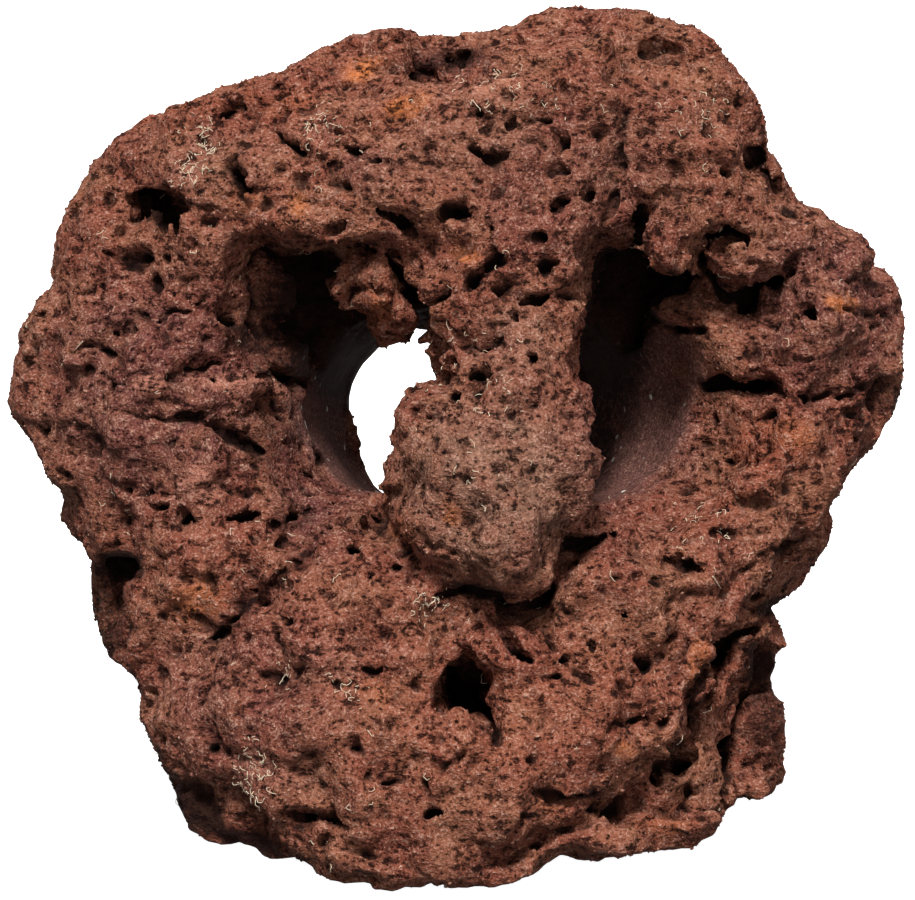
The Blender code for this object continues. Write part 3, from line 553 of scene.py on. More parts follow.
class DistanceField:
    """Signed distances in millimetres on a regular grid around the rock: below zero inside the stone."""

    # What is added around the mesh, an ellipsoid, a hollow and a boss, in grid steps.
    mesh_margin = 3.0
    stamp_margin = 1.5
    hollow_margin = 3.0
    boss_margin = 2.0
    # How far short of the last grid point a place is read, in grid steps.
    end_margin = 1.001

    def __init__(self, points: np.ndarray, triangles: np.ndarray, spacing: float, reach: float) -> None:
        """Fills the field from a closed mesh.

        Args:
            points: The mesh's points, in millimetres, one to a row.
            triangles: Its triangles, as rows of three point numbers.
            spacing: The distance between grid points.
            reach: How far from the surface the distances are true; past it they stay at this value.
        """
        margin = self.mesh_margin * spacing
        self.spacing = spacing
        self.reach = reach
        self.first = np.floor((points.min(axis=0) - margin) / spacing).astype(int)
        last = np.ceil((points.max(axis=0) + margin) / spacing).astype(int)
        self.shape = tuple(int(n) for n in last - self.first + 1)
        self.transform = openvdb.createLinearTransform(voxelSize=spacing)
        shell = openvdb.FloatGrid.createLevelSetFromPolygons(
            points.astype(np.float32), triangles=triangles.astype(np.uint32),
            transform=self.transform, halfWidth=reach / spacing)
        self.values = np.empty(self.shape, np.float32)
        shell.copyToArray(self.values, ijk=self.corner())

    def corner(self) -> tuple[int, int, int]:
        """The grid numbers of the field's first point."""
        return tuple(int(n) for n in self.first)

    def axis(self, number: int) -> np.ndarray:
        """The grid's coordinates along X, Y or Z, in millimetres."""
        return (self.first[number] + np.arange(self.shape[number])) * self.spacing

    def coordinates(self) -> tuple[np.ndarray, np.ndarray, np.ndarray]:
        """X, Y and Z of the grid, shaped so that they spread over the whole field."""
        return np.ix_(*(self.axis(number).astype(np.float32) for number in range(3)))

    def points_at(self, numbers: np.ndarray) -> np.ndarray:
        """The places of grid points that are given by their flat numbers, one to a row."""
        return (np.stack(np.unravel_index(numbers, self.shape), axis=-1) + self.first) * self.spacing

    def sample(self, points: np.ndarray, values: np.ndarray | None = None) -> np.ndarray:
        """Reads a field between its grid points.

        Args:
            points: Places in millimetres, one to a row.
            values: The field to read, or None for the distances.

        Returns:
            One number for each place.
        """
        values = self.values if values is None else values
        grid = np.clip(points / self.spacing - self.first, 0.0, np.array(self.shape) - self.end_margin)
        cell = grid.astype(int)
        part = (grid - cell).astype(np.float32)
        strides = (self.shape[1] * self.shape[2], self.shape[2], 1)
        base = cell @ np.array(strides)
        flat = values.ravel()
        total = np.zeros(len(points), np.float32)
        for corner in range(8):
            steps = [(corner >> bit) & 1 for bit in range(3)]
            weight = np.ones(len(points), np.float32)
            for number, step in enumerate(steps):
                weight = weight * (part[:, number] if step else 1.0 - part[:, number])
            total += weight * flat[base + sum(s * step for s, step in zip(strides, steps))]
        return total

    def slope(self, points: np.ndarray) -> np.ndarray:
        """Finds the outward directions at some places.

        Args:
            points: The places in millimetres, one to a row.

        Returns:
            A unit vector for each place.
        """
        direction = np.empty_like(points)
        for number in range(3):
            step = np.zeros(3)
            step[number] = self.spacing
            direction[:, number] = self.sample(points + step) - self.sample(points - step)
        length = np.linalg.norm(direction, axis=1, keepdims=True)
        return direction / np.maximum(length, LEAST_LENGTH)

    def soften(self, passes: int, half_window: int) -> None:
        """Rounds the facets off the surface by averaging the distances."""
        for _ in range(passes):
            self.values = averaged(self.values, half_window)

    def stamp(self, centre: np.ndarray, halves: Vector3, turn: np.ndarray,
              carve: bool, blend: float) -> None:
        """Adds an ellipsoid to the stone or carves one out of it.

        Args:
            centre: The ellipsoid's middle.
            halves: Its half sizes along its own three axes.
            turn: Those axes, as rows.
            carve: True to cut it out, False to add it.
            blend: The width over which it flows into the stone.
        """
        reach = max(halves) + blend + self.stamp_margin * self.spacing
        low = np.clip(np.floor((centre - reach) / self.spacing).astype(int) - self.first, 0, self.shape)
        high = np.clip(np.ceil((centre + reach) / self.spacing).astype(int) - self.first + 1, 0, self.shape)
        if np.any(high <= low):
            return
        window = tuple(slice(a, b) for a, b in zip(low, high))
        x, y, z = np.ix_(*(
            ((self.first[n] + np.arange(low[n], high[n])) * self.spacing - centre[n]).astype(np.float32)
            for n in range(3)))
        if halves[0] == halves[1] == halves[2]:
            distance = np.sqrt(x * x + y * y + z * z) - halves[0]
        else:
            near, steep = 0.0, 0.0
            for row, half in zip(turn, halves):
                along = (x * row[0] + y * row[1] + z * row[2]) / half
                near = near + along * along
                steep = steep + (along / half) ** 2
            near = np.sqrt(near)
            distance = near * (near - 1.0) / np.maximum(np.sqrt(steep), LEAST_STEEPNESS)
        part = self.values[window]
        if carve:
            self.values[window] = -smooth_least(-part, distance, blend)
        else:
            self.values[window] = smooth_least(part, distance, blend)

    def window_over(self, edge: np.ndarray, outs: Pair,
                    margin: float) -> tuple[tuple[slice, ...], tuple[np.ndarray, ...]] | None:
        """Finds the part of the grid that holds a drawn form.

        Args:
            edge: The form's edge, as rows of (across, up).
            outs: How far out it starts and ends.
            margin: What to add all round.

        Returns:
            The window, and across, up and out at each of its grid points, or None where it is empty.
        """
        corners = np.concatenate([
            LAYOUT.place(edge[:, 0], edge[:, 1], np.full(len(edge), out)) for out in outs])
        low = np.floor((corners.min(axis=0) - margin) / self.spacing).astype(int) - self.first
        high = np.ceil((corners.max(axis=0) + margin) / self.spacing).astype(int) - self.first + 1
        low, high = np.clip(low, 0, self.shape), np.clip(high, 0, self.shape)
        if np.any(high <= low):
            return None
        lines = [(self.first[n] + np.arange(low[n], high[n])) * self.spacing for n in range(3)]
        points = np.stack(np.meshgrid(*lines, indexing="ij"), axis=-1)
        sides = points.shape[:3]
        places = tuple(part.reshape(sides) for part in LAYOUT.read(points.reshape(-1, 3)))
        return tuple(slice(a, b) for a, b in zip(low, high)), places

    def cut_hollow(self, hollow: Hollow) -> None:
        """Cuts a hollow with a drawn edge, open towards the eye.

        Args:
            hollow: The hollow.
        """
        edge = np.array(hollow.edge, float)
        floor = hollow.floor
        if floor is None:
            middle = edge.mean(axis=0)
            floor = (self.depth_at(middle[0], middle[1]) or 0.0) - hollow.depth
        found = self.window_over(edge, (floor, FRONT_LIMIT), self.hollow_margin * self.spacing)
        if found is not None:
            window, (across, up, out) = found
            distance = np.maximum(outline_distance(edge, across, up), floor - out).astype(np.float32)
            self.values[window] = -smooth_least(-self.values[window], distance, hollow.blend)

    def add_boss(self, boss: Boss) -> None:
        """Adds a lump with a drawn edge, whose front rounds down to that edge.

        Args:
            boss: The lump.
        """
        edge = np.array(boss.edge, float)
        margin = 2.0 * boss.blend + self.boss_margin * self.spacing
        found = self.window_over(edge, (boss.back, boss.front), margin)
        if found is not None:
            window, (across, up, out) = found
            flat = outline_distance(edge, across, up)
            rim = np.clip(1.0 + flat / boss.crown_width, 0.0, 1.0) ** 2
            distance = np.maximum(np.maximum(flat, out - boss.front + boss.crown * rim), boss.back - out)
            self.values[window] = smooth_least(self.values[window], distance.astype(np.float32), boss.blend)

    def depth_at(self, across: float, up: float) -> float | None:
        """Finds the stone's front at a place on the face.

        Args:
            across: The place, across the face.
            up: The place, up the face.

        Returns:
            How far out the front is, or None where there is no stone.
        """
        outs = np.arange(FRONT_LIMIT, -FRONT_LIMIT, -0.5 * self.spacing)
        values = self.sample(LAYOUT.place(across, up, outs))
        inside = np.flatnonzero(values < 0.0)
        return float(outs[inside[0]]) if len(inside) else None

    def surface(self, count: int, draws: np.random.Generator,
                chance: np.ndarray | None = None) -> np.ndarray:
        """Picks places on the stone's surface at random.

        Args:
            count: How many places.
            draws: Where the random numbers come from.
            chance: How likely each grid point is, or None for an even spread.

        Returns:
            The places, in millimetres, one to a row.
        """
        near = np.flatnonzero(np.abs(self.values.ravel()) < 0.5 * self.spacing)
        weights = None
        if chance is not None:
            weights = chance.ravel()[near].astype(float)
            weights = weights / weights.sum()
        picked = draws.choice(near, count, p=weights)
        return self.points_at(picked) + draws.uniform(-0.5, 0.5, (count, 3)) * self.spacing

    def bend(self, shifts: list[np.ndarray], reach: float) -> None:
        """Moves the surface's places about by a field of shifts, so that round forms turn irregular.

        Args:
            shifts: The shift along X, Y and Z at each grid point.
            reach: How far from the surface the field is worked out again.
        """
        band = np.flatnonzero(np.abs(self.values.ravel()) < reach)
        places = self.points_at(band)
        for number, shift in enumerate(shifts):
            places[:, number] += shift.ravel()[band]
        moved = self.sample(places)
        self.values.ravel()[band] = moved

    def polygons(self) -> tuple[np.ndarray, np.ndarray]:
        """Draws the stone's surface as triangles.

        Returns:
            The points in millimetres, and the triangles with their faces pointing out.
        """
        grid = openvdb.FloatGrid(self.reach)
        grid.transform = self.transform
        grid.copyFromArray(self.values, ijk=self.corner())
        points, triangles, quads = grid.convertToPolygons(isovalue=0.0, adaptivity=0.0)
        points = np.asarray(points, float)
        quads = np.asarray(quads).astype(int).reshape(-1, 4)
        faces = np.concatenate((
            quads[:, (0, 1, 2)], quads[:, (0, 2, 3)], np.asarray(triangles).astype(int).reshape(-1, 3)))
        corners = points[faces]
        volume = np.einsum("ij,ij->", corners[:, 0], np.cross(corners[:, 1], corners[:, 2]))
        return points, faces if volume > 0.0 else faces[:, ::-1]


def outline_distance(edge: np.ndarray, across: np.ndarray, up: np.ndarray) -> np.ndarray:
    """Works out distances on the layout plane from places to a closed outline.

    Args:
        edge: The outline, as rows of (across, up).
        across: The places, across the face.
        up: The places, up the face.

    Returns:
        One distance for each place, below zero inside the outline.
    """
    nearest = np.full(across.shape, np.inf)
    inside = np.zeros(across.shape, bool)
    for start, end in zip(edge, np.roll(edge, -1, axis=0)):
        run, rise = end - start
        right, high = across - start[0], up - start[1]
        share = np.clip((right * run + high * rise) / (run * run + rise * rise), 0.0, 1.0)
        nearest = np.minimum(nearest, (right - share * run) ** 2 + (high - share * rise) ** 2)
        if rise:
            crossed = ((start[1] > up) != (end[1] > up)) & (right < high * run / rise)
            inside ^= crossed
    return np.where(inside, -1.0, 1.0) * np.sqrt(nearest)


def smooth_least(first: np.ndarray, second: np.ndarray, blend: float) -> np.ndarray:
    """Takes the smaller of two distances, with a rounded valley where they meet.

    Args:
        first: One distance.
        second: The other.
        blend: How wide the rounding is, or 0 for a sharp valley.

    Returns:
        The blended distance.
    """
    if blend <= 0.0:
        return np.minimum(first, second)
    share = np.clip(0.5 + 0.5 * (second - first) / blend, 0.0, 1.0)
    return second + (first - second) * share - blend * share * (1.0 - share)


def smooth_step(values: np.ndarray, low: float, high: float) -> np.ndarray:
    """Rises smoothly from 0 at low to 1 at high."""
    share = np.clip((values - low) / (high - low), 0.0, 1.0)
    return share * share * (3.0 - 2.0 * share)


def averaged(values: np.ndarray, half_window: int) -> np.ndarray:
    """Averages a field over a cube of grid points around each one.

    Args:
        values: The field.
        half_window: How many grid points the cube reaches to each side.

    Returns:
        The averaged field.
    """
    for axis in range(3):
        total = np.zeros_like(values)
        for step in range(-half_window, half_window + 1):
            total += np.roll(values, step, axis=axis)
        values = total / (2 * half_window + 1)
    return values


def spline_weights(count: int, spacing: float, cell: float) -> np.ndarray:
    """Works out how much each lattice value counts at each grid point of one axis, for a cubic blend.

    Args:
        count: How many grid points the axis has.
        spacing: The distance between them.
        cell: The distance between lattice values.

    Returns:
        A row of weights for each grid point.
    """
    position = np.arange(count) * spacing / cell
    base = position.astype(int)
    part = position - base
    weights = np.zeros((count, base[-1] + 4), np.float32)
    rows = np.arange(count)
    weights[rows, base] = (1.0 - part) ** 3 / 6.0
    weights[rows, base + 1] = (3.0 * part**3 - 6.0 * part**2 + 4.0) / 6.0
    weights[rows, base + 2] = (-3.0 * part**3 + 3.0 * part**2 + 3.0 * part + 1.0) / 6.0
    weights[rows, base + 3] = part**3 / 6.0
    return weights


def rolling_noise(field: DistanceField, cells: Vector3,
                  draws: np.random.Generator) -> np.ndarray:
    """Smooth random relief over a field.

    Args:
        field: The field whose grid it fills.
        cells: The size of its swells along X, Y and Z.
        draws: Where the random numbers come from.

    Returns:
        The relief, with a mean of 0 and a spread of 1.
    """
    weights = [spline_weights(n, field.spacing, cell) for n, cell in zip(field.shape, cells)]
    relief = draws.standard_normal([w.shape[1] for w in weights]).astype(np.float32)
    relief = np.tensordot(weights[0], relief, axes=(1, 0))
    relief = np.tensordot(relief, weights[1], axes=(1, 1))
    relief = np.tensordot(relief, weights[2], axes=(1, 1))
    relief -= relief.mean()
    relief /= relief.std()
    return relief


def folded_noise(field: DistanceField, cell: float, draws: np.random.Generator) -> np.ndarray:
    """Random relief of knots with sharp valleys between them, with a mean near 0."""
    return np.abs(rolling_noise(field, (cell,) * 3, draws)) - FOLD_MEAN


# --- the skin ------------------------------------------------------------------------------------------


class Tint(Enum):
    """Where the stone's colour leaves its red brown, or painted shade darkens it, as the name of the skin's
    attribute.
    """

    ORANGE = "orange_patch"
    RUST = "rust_patch"
    PLUM = "plum_patch"
    OLIVE = "olive_patch"
    PINK = "pink_patch"
    # Painted shade: darkness painted where shade falls in hollows, pits, creases and undercuts.
    SHADE = "dark_patch"


@dataclass(frozen=True)
class Spot:
    """A place on the face: its middle, half sizes, roll in degrees and strength.

    It takes in only what stands no further out than reach.
    """

    across: float
    up: float
    half_width: float
    half_height: float
    roll: float = 0.0
    strength: float = 1.0
    reach: float = 200.0

    def cover(self, places: Places) -> np.ndarray:
        """Works out how strongly the spot takes in some places.

        Args:
            places: How far across, up and out they are.

        Returns:
            One number for each place.
        """
        across, up, out = places
        turn = math.radians(self.roll)
        right, high = across - self.across, up - self.up
        along = (right * math.cos(turn) + high * math.sin(turn)) / self.half_width
        over = (high * math.cos(turn) - right * math.sin(turn)) / self.half_height
        near = 1.0 - smooth_step(np.sqrt(along**2 + over**2), SPOT_CORE, SPOT_END)
        return self.strength * near * (1.0 - smooth_step(out, self.reach - REACH_FADE, self.reach))


def spots_cover(rows: Rows, places: Places) -> np.ndarray:
    """Works out how strongly the strongest of some spots takes in each place.

    Args:
        rows: The spots, each as a row of Spot.
        places: How far across, up and out the places are.

    Returns:
        One number for each place.
    """
    cover = np.zeros(np.shape(places[0]))
    for row in rows:
        cover = np.maximum(cover, Spot(*row).cover(places))
    return cover


# Rows of Spot for each tint.
TINTED = {
    Tint.ORANGE: (
        (-13.1, 85.8, 6.5, 3.4, 25), (-23.9, 95, 5.5, 3.2, 20), (-39.9, 61.3, 2.6, 3.2),
        (96.1, 36.8, 5, 2.2, -10), (-1.4, -16.3, 2.4, 2.4), (2.1, 48.8, 4, 2, -15),
        (41.4, -75, 3, 2.4, 0, 0.7), (60.4, -52, 3, 7, -10, 0.55), (-65, -38, 9, 6, 20, 0.5),
        (-19.5, 35.5, 3.5, 3.5, 0, 0.5), (-54, 62, 7, 4, 0, 0.25), (24, -88, 5, 3, 0, 0.3),
        (84, 4, 7, 4, -20, 0.35), (-42, 87, 8, 3, 20, 0.25), (-13, -20, 4, 5, 0, 0.3),
        (52, -94, 8, 3, 0, 0.3), (-20, -60, 5, 4, 0, 0.2),
    ),
    Tint.RUST: (
        (78, 0, 12, 10), (-60, 90, 30, 8, 20, 0.6), (55, -15, 18, 8, 10, 0.6), (15, -65, 45, 22, 10, 0.5),
        (-48, 55, 8, 5, 0, 0.7), (-22, 40, 9, 11, 0, 0.5), (70, -58, 4, 14, -20, 0.5),
    ),
    Tint.PLUM: (
        (-75, 15, 34, 34, 0, 0.9), (92, 35, 24, 26, 0, 0.8), (30, 65, 30, 26, 0, 0.5),
        (-55, -60, 26, 30, 30, 0.5), (-36, -5, 14, 26, 0, 0.9), (44, 0, 20, 26, 0, 0.8),
        (76, -66, 6, 18, 0, 0.35), (-23, 71, 8, 6, 0, 0.6), (-3, 97, 14, 5, 0, 0.7),
    ),
    Tint.OLIVE: (
        (9, -8, 26, 26), (14, 25, 14, 14, 0, 0.6), (-2, 75, 26, 10, 15, 0.35), (-60, 70, 16, 12, 0, 0.3),
    ),
    # Pink places; the first three rows are also a painted highlight on the scoop's lit bulges.
    Tint.PINK: (
        (-76.8, 16.6, 5, 2.6, 0, 1), (-53, 16.4, 13, 2.4, -3, 1), (-64.2, -8, 6.5, 4.8, 0, 0.9),
        (-63.6, 76, 4, 5, 0, 0.45), (-66.9, 70, 4.5, 4, 0, 0.4), (-51.4, -78.6, 5, 5, 0, 0.6),
        (-45, -82, 6, 3, 0, 0.4), (-31, -54, 10, 8, 0, 0.25), (-36, 79, 9, 4, 15, 0.3),
        (8, 90, 14, 5, 10, 0.35), (61, 84, 5, 5, 0, 0.35), (4, 8, 9, 5, 0, 0.3), (18, -27, 6, 4, 30, 0.35),
        (-5, -14, 6, 5, 0, 0.25), (-60, 52, 6, 4, 0, 0.3),
    ),
    # Painted shade: where shade falls in the openings, the gaps between ledges, undercuts and the
    # underside.
    Tint.SHADE: (
        (-36, 36, 14, 18, 0, 1, 10), (-49.4, 27, 13, 5, -8, 0.7), (-17, 37.5, 14, 16, 0, 1, 4),
        (-28, 22.5, 12, 15, 0, 0.95, 8), (-36, 22, 14, 9, 0, 0.7, 20), (-11.5, 41, 4.5, 10, -20, 0.8, 26),
        (52, 44, 30, 17, 0, 1, 8), (35.6, 30, 15, 27, 0, 1, 4), (33, 5, 8, 22, 0, 0.8, -8),
        (70, 16.2, 12, 4.5, 0, 1, 8), (71, 39.5, 13, 7, 0, 1, 12), (68, 55.5, 7, 4, 0, 1, 18),
        (62.4, 48, 3, 6, 0, 1, 18), (46.2, 54, 3, 6.5, 0, 0.9, 16), (107, 13.5, 6, 6.5, 0, 0.6),
        (68, -48.5, 8, 6.5, 40, 1, 20), (75.8, -54.5, 5, 6.5, -15, 0.9, 6),
        (56, -79.6, 5, 4.5, 0, 0.9, 20), (79, -39, 7, 2.6, 20, 0.9, 26), (60, -68.5, 3, 6, -30, 0.5, 24),
        (68.6, -72, 3, 12, -12, 0.6, 10), (-84.6, -28.8, 8, 5, 0, 0.95), (-87.4, -42, 7, 15, 0, 0.6),
        (-64.6, -89.5, 10.5, 6, -48, 1, 60), (-52, -98, 12, 3.4, -18, 1, 60),
        (-34, -103.5, 10, 2.4, -16, 0.6), (77.2, -63, 6.5, 16, -5, 0.56), (-46, 4, 9, 13, 0, 0.38),
        (-45, 38.5, 8, 9, 0, 0.66), (-39.5, 37, 5, 11, 0, 1, 20), (-51, 29.8, 9, 3, -8, 0.75),
        (59, 37.5, 10, 6, 0, 0.52), (49, 8, 13, 22, 0, 0.32, 2), (-22.5, 39, 9, 10, 0, 0.22),
        (-2, 97.4, 12, 3.4, 8, 0.62), (4.5, -35, 10, 2.4, -10, 0.85), (12, -30.5, 14, 4, -5, 0.3),
        (-73, -79.5, 2.6, 9, 24, 0.7), (-50.5, -37.6, 17, 1.2, 42, 0.75), (32, -23, 5.5, 2.2, 0, 0.8),
        (-57.5, -36, 11, 7, 42, 0.22), (3.5, -60, 9, 9, -45, 0.9, 38), (-44.6, 18.6, 8, 1.6, -12, 0.75),
        (-42, -17.5, 7, 3.4, 0, 0.5),
    ),
}


@dataclass
class StoneSkin:
    """The stone's surface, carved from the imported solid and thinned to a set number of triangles.

    Pairs named after a relief are its cell size and height; pairs named after a fade are where it starts
    and ends. A blend is the width over which a form flows into the stone.
    """

    name: str = "stone_skin"
    triangles: int = 194000
    seed: int = 41
    # The field: its grid, how far it is true, how thick the skin is over the solid, and its clearance.
    spacing: float = 0.8
    reach: float = 8.0
    skin_gain: float = 0.35
    floor_clearance: float = 0.15
    # The bores: the fade of a drilled wall's calm, how calm it is, and the flare of each mouth.
    wall_fade: Pair = (0.6, 2.6)
    wall_calm: float = 0.70
    flare_side: Pair = (0.0, 16.0)
    flare_top: Pair = (-2.0, 14.0)
    flare_least: float = 2.0
    flare_blend: float = 1.5
    # The relief of the cooled lava: swells, knots, flow layers and ragged places, then the fine crumb.
    swell: Pair = (9.0, 0.7)
    knots: Pair = (4.6, 0.40)
    layers: Vector3 = (17.0, 3.2, 0.45)
    shreds: Pair = (3.0, 1.0)
    shred_band: float = 2.5
    crumb: Pair = (2.0, 0.30)
    # The last bending of every form: the cell size and the shift of each bend.
    bends: tuple[Pair, ...] = ((6.0, 1.1), (2.6, 0.45))
    bend_reach: float = 4.0
    # The clots of lava. The named ones flow into the stone over a wider blend.
    clot_count: int = 9000
    clot_radii: Pair = (0.9, 1.9)
    clot_sink: float = 0.95
    clot_blend: float = 0.3
    named_clot_blend: float = 1.0
    # The gas bubbles: a few caves and many small ones, as count, radii and how rare the large ones are.
    caves: tuple[int, Pair, float] = (60, (2.2, 4.0), 1.5)
    bubbles: tuple[int, Pair, float] = (9000, (0.7, 2.2), 4.0)
    bubble_length: float = 1.15
    bubble_flats: Pair = (0.45, 1.0)
    bubble_sinks: Pair = (-0.1, 0.55)
    bubble_spin: float = 0.5
    bubble_blend: float = 0.15
    # The named pits: one hole in shares of the pit's size, and bites around its rim.
    pit_core: Pair = (0.72, 0.66)
    pit_sink: float = 0.25
    pit_blend: float = 0.4
    pit_bites: int = 11
    bite_sizes: Pair = (0.26, 0.66)
    bite_reaches: Pair = (0.35, 1.0)
    bite_length: float = 1.2
    bite_depth: Pair = (0.4, 0.6)
    bite_sink: float = 0.1
    bite_blend: float = 0.2
    # The named creases, cut station by station.
    crease_shake: float = 0.35
    crease_sizes: Pair = (0.65, 1.3)
    crease_overlap: float = 0.8
    crease_blend: float = 0.3
    # The stone's edge as the eye point sees it. Only what lies past the start is trimmed to it.
    rim_start: float = 70.0
    rim_inset: float = 0.25
    rim_blend: float = 0.8
    rim_band: float = 0.9
    # The painted shade inside pits and creases: how dark, the depth of a black pit, and how far out it
    # reaches.
    pit_shade: float = 0.95
    crease_shade: float = 0.75
    black_depth: float = 5.0
    dark_rise: float = 0.8
    pit_shade_margin: float = 0.2
    crease_shade_margin: Pair = (0.3, 0.4)
    # What the finish reads: the windows that hollows are told by for their painted shade, and the fades of
    # its other marks.
    near_window: int = 2
    far_window: int = 6
    drilled_fade: Pair = (0.5, 1.8)
    pillar_fade: Pair = (2.0, 12.0)
    floor_fade: Pair = (0.5, 3.0)
    facing_fade: Pair = (-0.3, 0.0)
    face_fade: Pair = (-58.0, -46.0)
    shade_fade: Pair = (-62.0, -52.0)
    stray_rootlets: float = 0.004
    # What the carving keeps: its field, how rough each grid point is from 0 to 1, and its random draws.
    field: DistanceField = data_field(init=False)
    rough: np.ndarray = data_field(init=False)
    draws: np.random.Generator = data_field(init=False)
    # The spots of painted shade in the pits and creases.
    shade_spots: list[tuple[float, ...]] = data_field(default_factory=list)

    def carve(self, node: bpy.types.Object) -> None:
        """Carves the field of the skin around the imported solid.

        Args:
            node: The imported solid.
        """
        points, triangles = merged_triangles(node)
        self.field = DistanceField(points / MM, triangles, self.spacing, self.reach)
        log.info("field of %s grid points", "x".join(str(n) for n in self.field.shape))
        self.field.soften(passes=2, half_window=2)
        self.field.values += self.skin_gain
        self.shape_face()
        self.draws = np.random.default_rng(self.seed)
        self.rough = 1.0 - self.wall_calm * self.bore_walls()
        self.raise_relief()
        self.add_clots()
        self.blow_bubbles()
        self.cut_face()
        self.shred()
        for gap in GAPS.values():
            self.field.cut_hollow(gap)
        self.twist()
        self.trim_edge(-self.rim_inset)
        self.crumble()
        self.keep_in_box(node)

    def shape_face(self) -> None:
        """Widens the bores' mouths, cuts the drawn hollows, adds the drawn lumps and trims the edge."""
        self.widen_mouths()
        for hollow in HOLLOWS.values():
            self.field.cut_hollow(hollow)
        for boss in BOSSES.values():
            self.field.add_boss(boss)
        self.trim_edge(self.rim_inset)

    def widen_mouths(self) -> None:
        """Flares each bore towards the face on its outer side, below its roof."""
        field = self.field
        offsets = [part - middle for part, middle in zip(field.coordinates(), np.array(LAYOUT.centre))]
        across, up, out = (sum(part * way for part, way in zip(offsets, axis)) for axis in LAYOUT.axes())
        share = (LAYOUT.eye_distance - out) / LAYOUT.eye_distance
        across, up = across / share, up / share
        for bore, (side, width, (start, end)) in zip(BORES, FLARES):
            middle, top = bore.front[0], bore.front[1]
            outer = smooth_step(side * (across - middle), *self.flare_side)
            outer = outer * (1.0 - smooth_step(up - top, *self.flare_top))
            extra = width * outer * smooth_step(out, start, end)
            distance = axis_distance(field, bore) - bore.radius - extra
            distance += FRONT_LIMIT * (1.0 - smooth_step(extra, 0.0, self.flare_least))
            field.values = -smooth_least(-field.values, distance.astype(np.float32), self.flare_blend)

    def trim_edge(self, inset: float) -> None:
        """Cuts the stone back to its edge as it is seen from the eye point.

        Args:
            inset: How far inside the edge it is cut; below zero, how far outside.
        """
        flat = self.field.values.reshape(-1)
        numbers = np.flatnonzero(np.abs(flat) < self.rim_band * self.reach)
        across, up, _ = LAYOUT.read(self.field.points_at(numbers))
        rim = np.hypot(across, up) > self.rim_start
        numbers = numbers[rim]
        distance = outline_distance(np.array(EDGE, float), across[rim], up[rim]) + inset
        flat[numbers] = -smooth_least(-flat[numbers], -distance.astype(np.float32), self.rim_blend)

    def bore_walls(self) -> np.ndarray:
        """Finds the drilled walls: 1 at a wall and 0 a little way off it."""
        gap = bore_distance(self.field)
        return 1.0 - smooth_step(np.abs(self.field.values - self.skin_gain + gap), *self.wall_fade)

    def raise_relief(self) -> None:
        """Adds the swells, knots and flow layers of the cooled lava."""
        field, draws = self.field, self.draws
        cell, height = self.swell
        relief = height * rolling_noise(field, (cell,) * 3, draws)
        cell, height = self.knots
        relief += height * folded_noise(field, cell, draws)
        length, thickness, height = self.layers
        relief += height * rolling_noise(field, (length, length, thickness), draws)
        field.values -= self.rough * relief

    def add_clots(self) -> None:
        """Covers the surface with small clots of lava, and sets the named ones."""
        field, draws = self.field, self.draws
        places = field.surface(self.clot_count, draws, self.rough**4)
        low, high = self.clot_radii
        radii = low + (high - low) * draws.random(self.clot_count) ** 2
        slopes = field.slope(places)
        for place, slope, radius in zip(places, slopes, radii):
            centre = place - slope * radius * self.clot_sink
            field.stamp(centre, (radius,) * 3, np.eye(3), carve=False, blend=self.clot_blend)
        for rows in CLOTS.values():
            for row in rows:
                clot = Clot(*row)
                out = field.depth_at(clot.across, clot.up)
                if out is not None:
                    centre = LAYOUT.place(clot.across, clot.up, out + clot.proud - clot.radius)
                    field.stamp(centre, (clot.radius,) * 3, np.eye(3), False, self.named_clot_blend)

    def blow_bubbles(self) -> None:
        """Opens gas bubbles of mixed size, most of them small and some drawn out flat by the flow."""
        field, draws = self.field, self.draws
        for count, (low, high), power in (self.caves, self.bubbles):
            places = field.surface(count, draws, self.rough**4)
            sizes = low + (high - low) * draws.random(count) ** power
            slopes = field.slope(places)
            flats = draws.uniform(*self.bubble_flats, count)
            sinks = draws.uniform(*self.bubble_sinks, count)
            spins = draws.uniform(-self.bubble_spin, self.bubble_spin, count)
            for place, slope, size, flat, sink, spin in zip(places, slopes, sizes, flats, sinks, spins):
                along = np.array((math.cos(spin), 0.0, math.sin(spin)))
                over = np.array((-math.sin(spin), 0.0, math.cos(spin)))
                turn = np.stack((along, np.cross(over, along), over))
                halves = (size * self.bubble_length, size, size * flat)
                field.stamp(place - slope * size * sink, halves, turn, True, self.bubble_blend)

    def cut_face(self) -> None:
        """Cuts the named pits and creases into the face, each along the line of sight to it, and paints
        shade in them.
        """
        for rows in PITS.values():
            for row in rows:
                self.open_pit(Pit(*row))
        for crease in CREASES.values():
            for station in crease.stations():
                shake = self.draws.normal(0.0, self.crease_shake, 2)
                size = self.draws.uniform(*self.crease_sizes)
                front = self.field.depth_at(*station)
                if front is not None:
                    place = station + shake
                    length = crease.half_width + self.crease_overlap
                    width = crease.half_width * size
                    self.field.stamp(
                        LAYOUT.place(*place, front), (length, width, crease.depth * size), LAYOUT.axes(),
                        True, self.crease_blend)
                    # Paints shade along the crease.
                    along, over = self.crease_shade_margin
                    self.shade_spots.append((
                        *place, length + along, width + over, 0.0, self.crease_shade,
                        front + self.dark_rise))

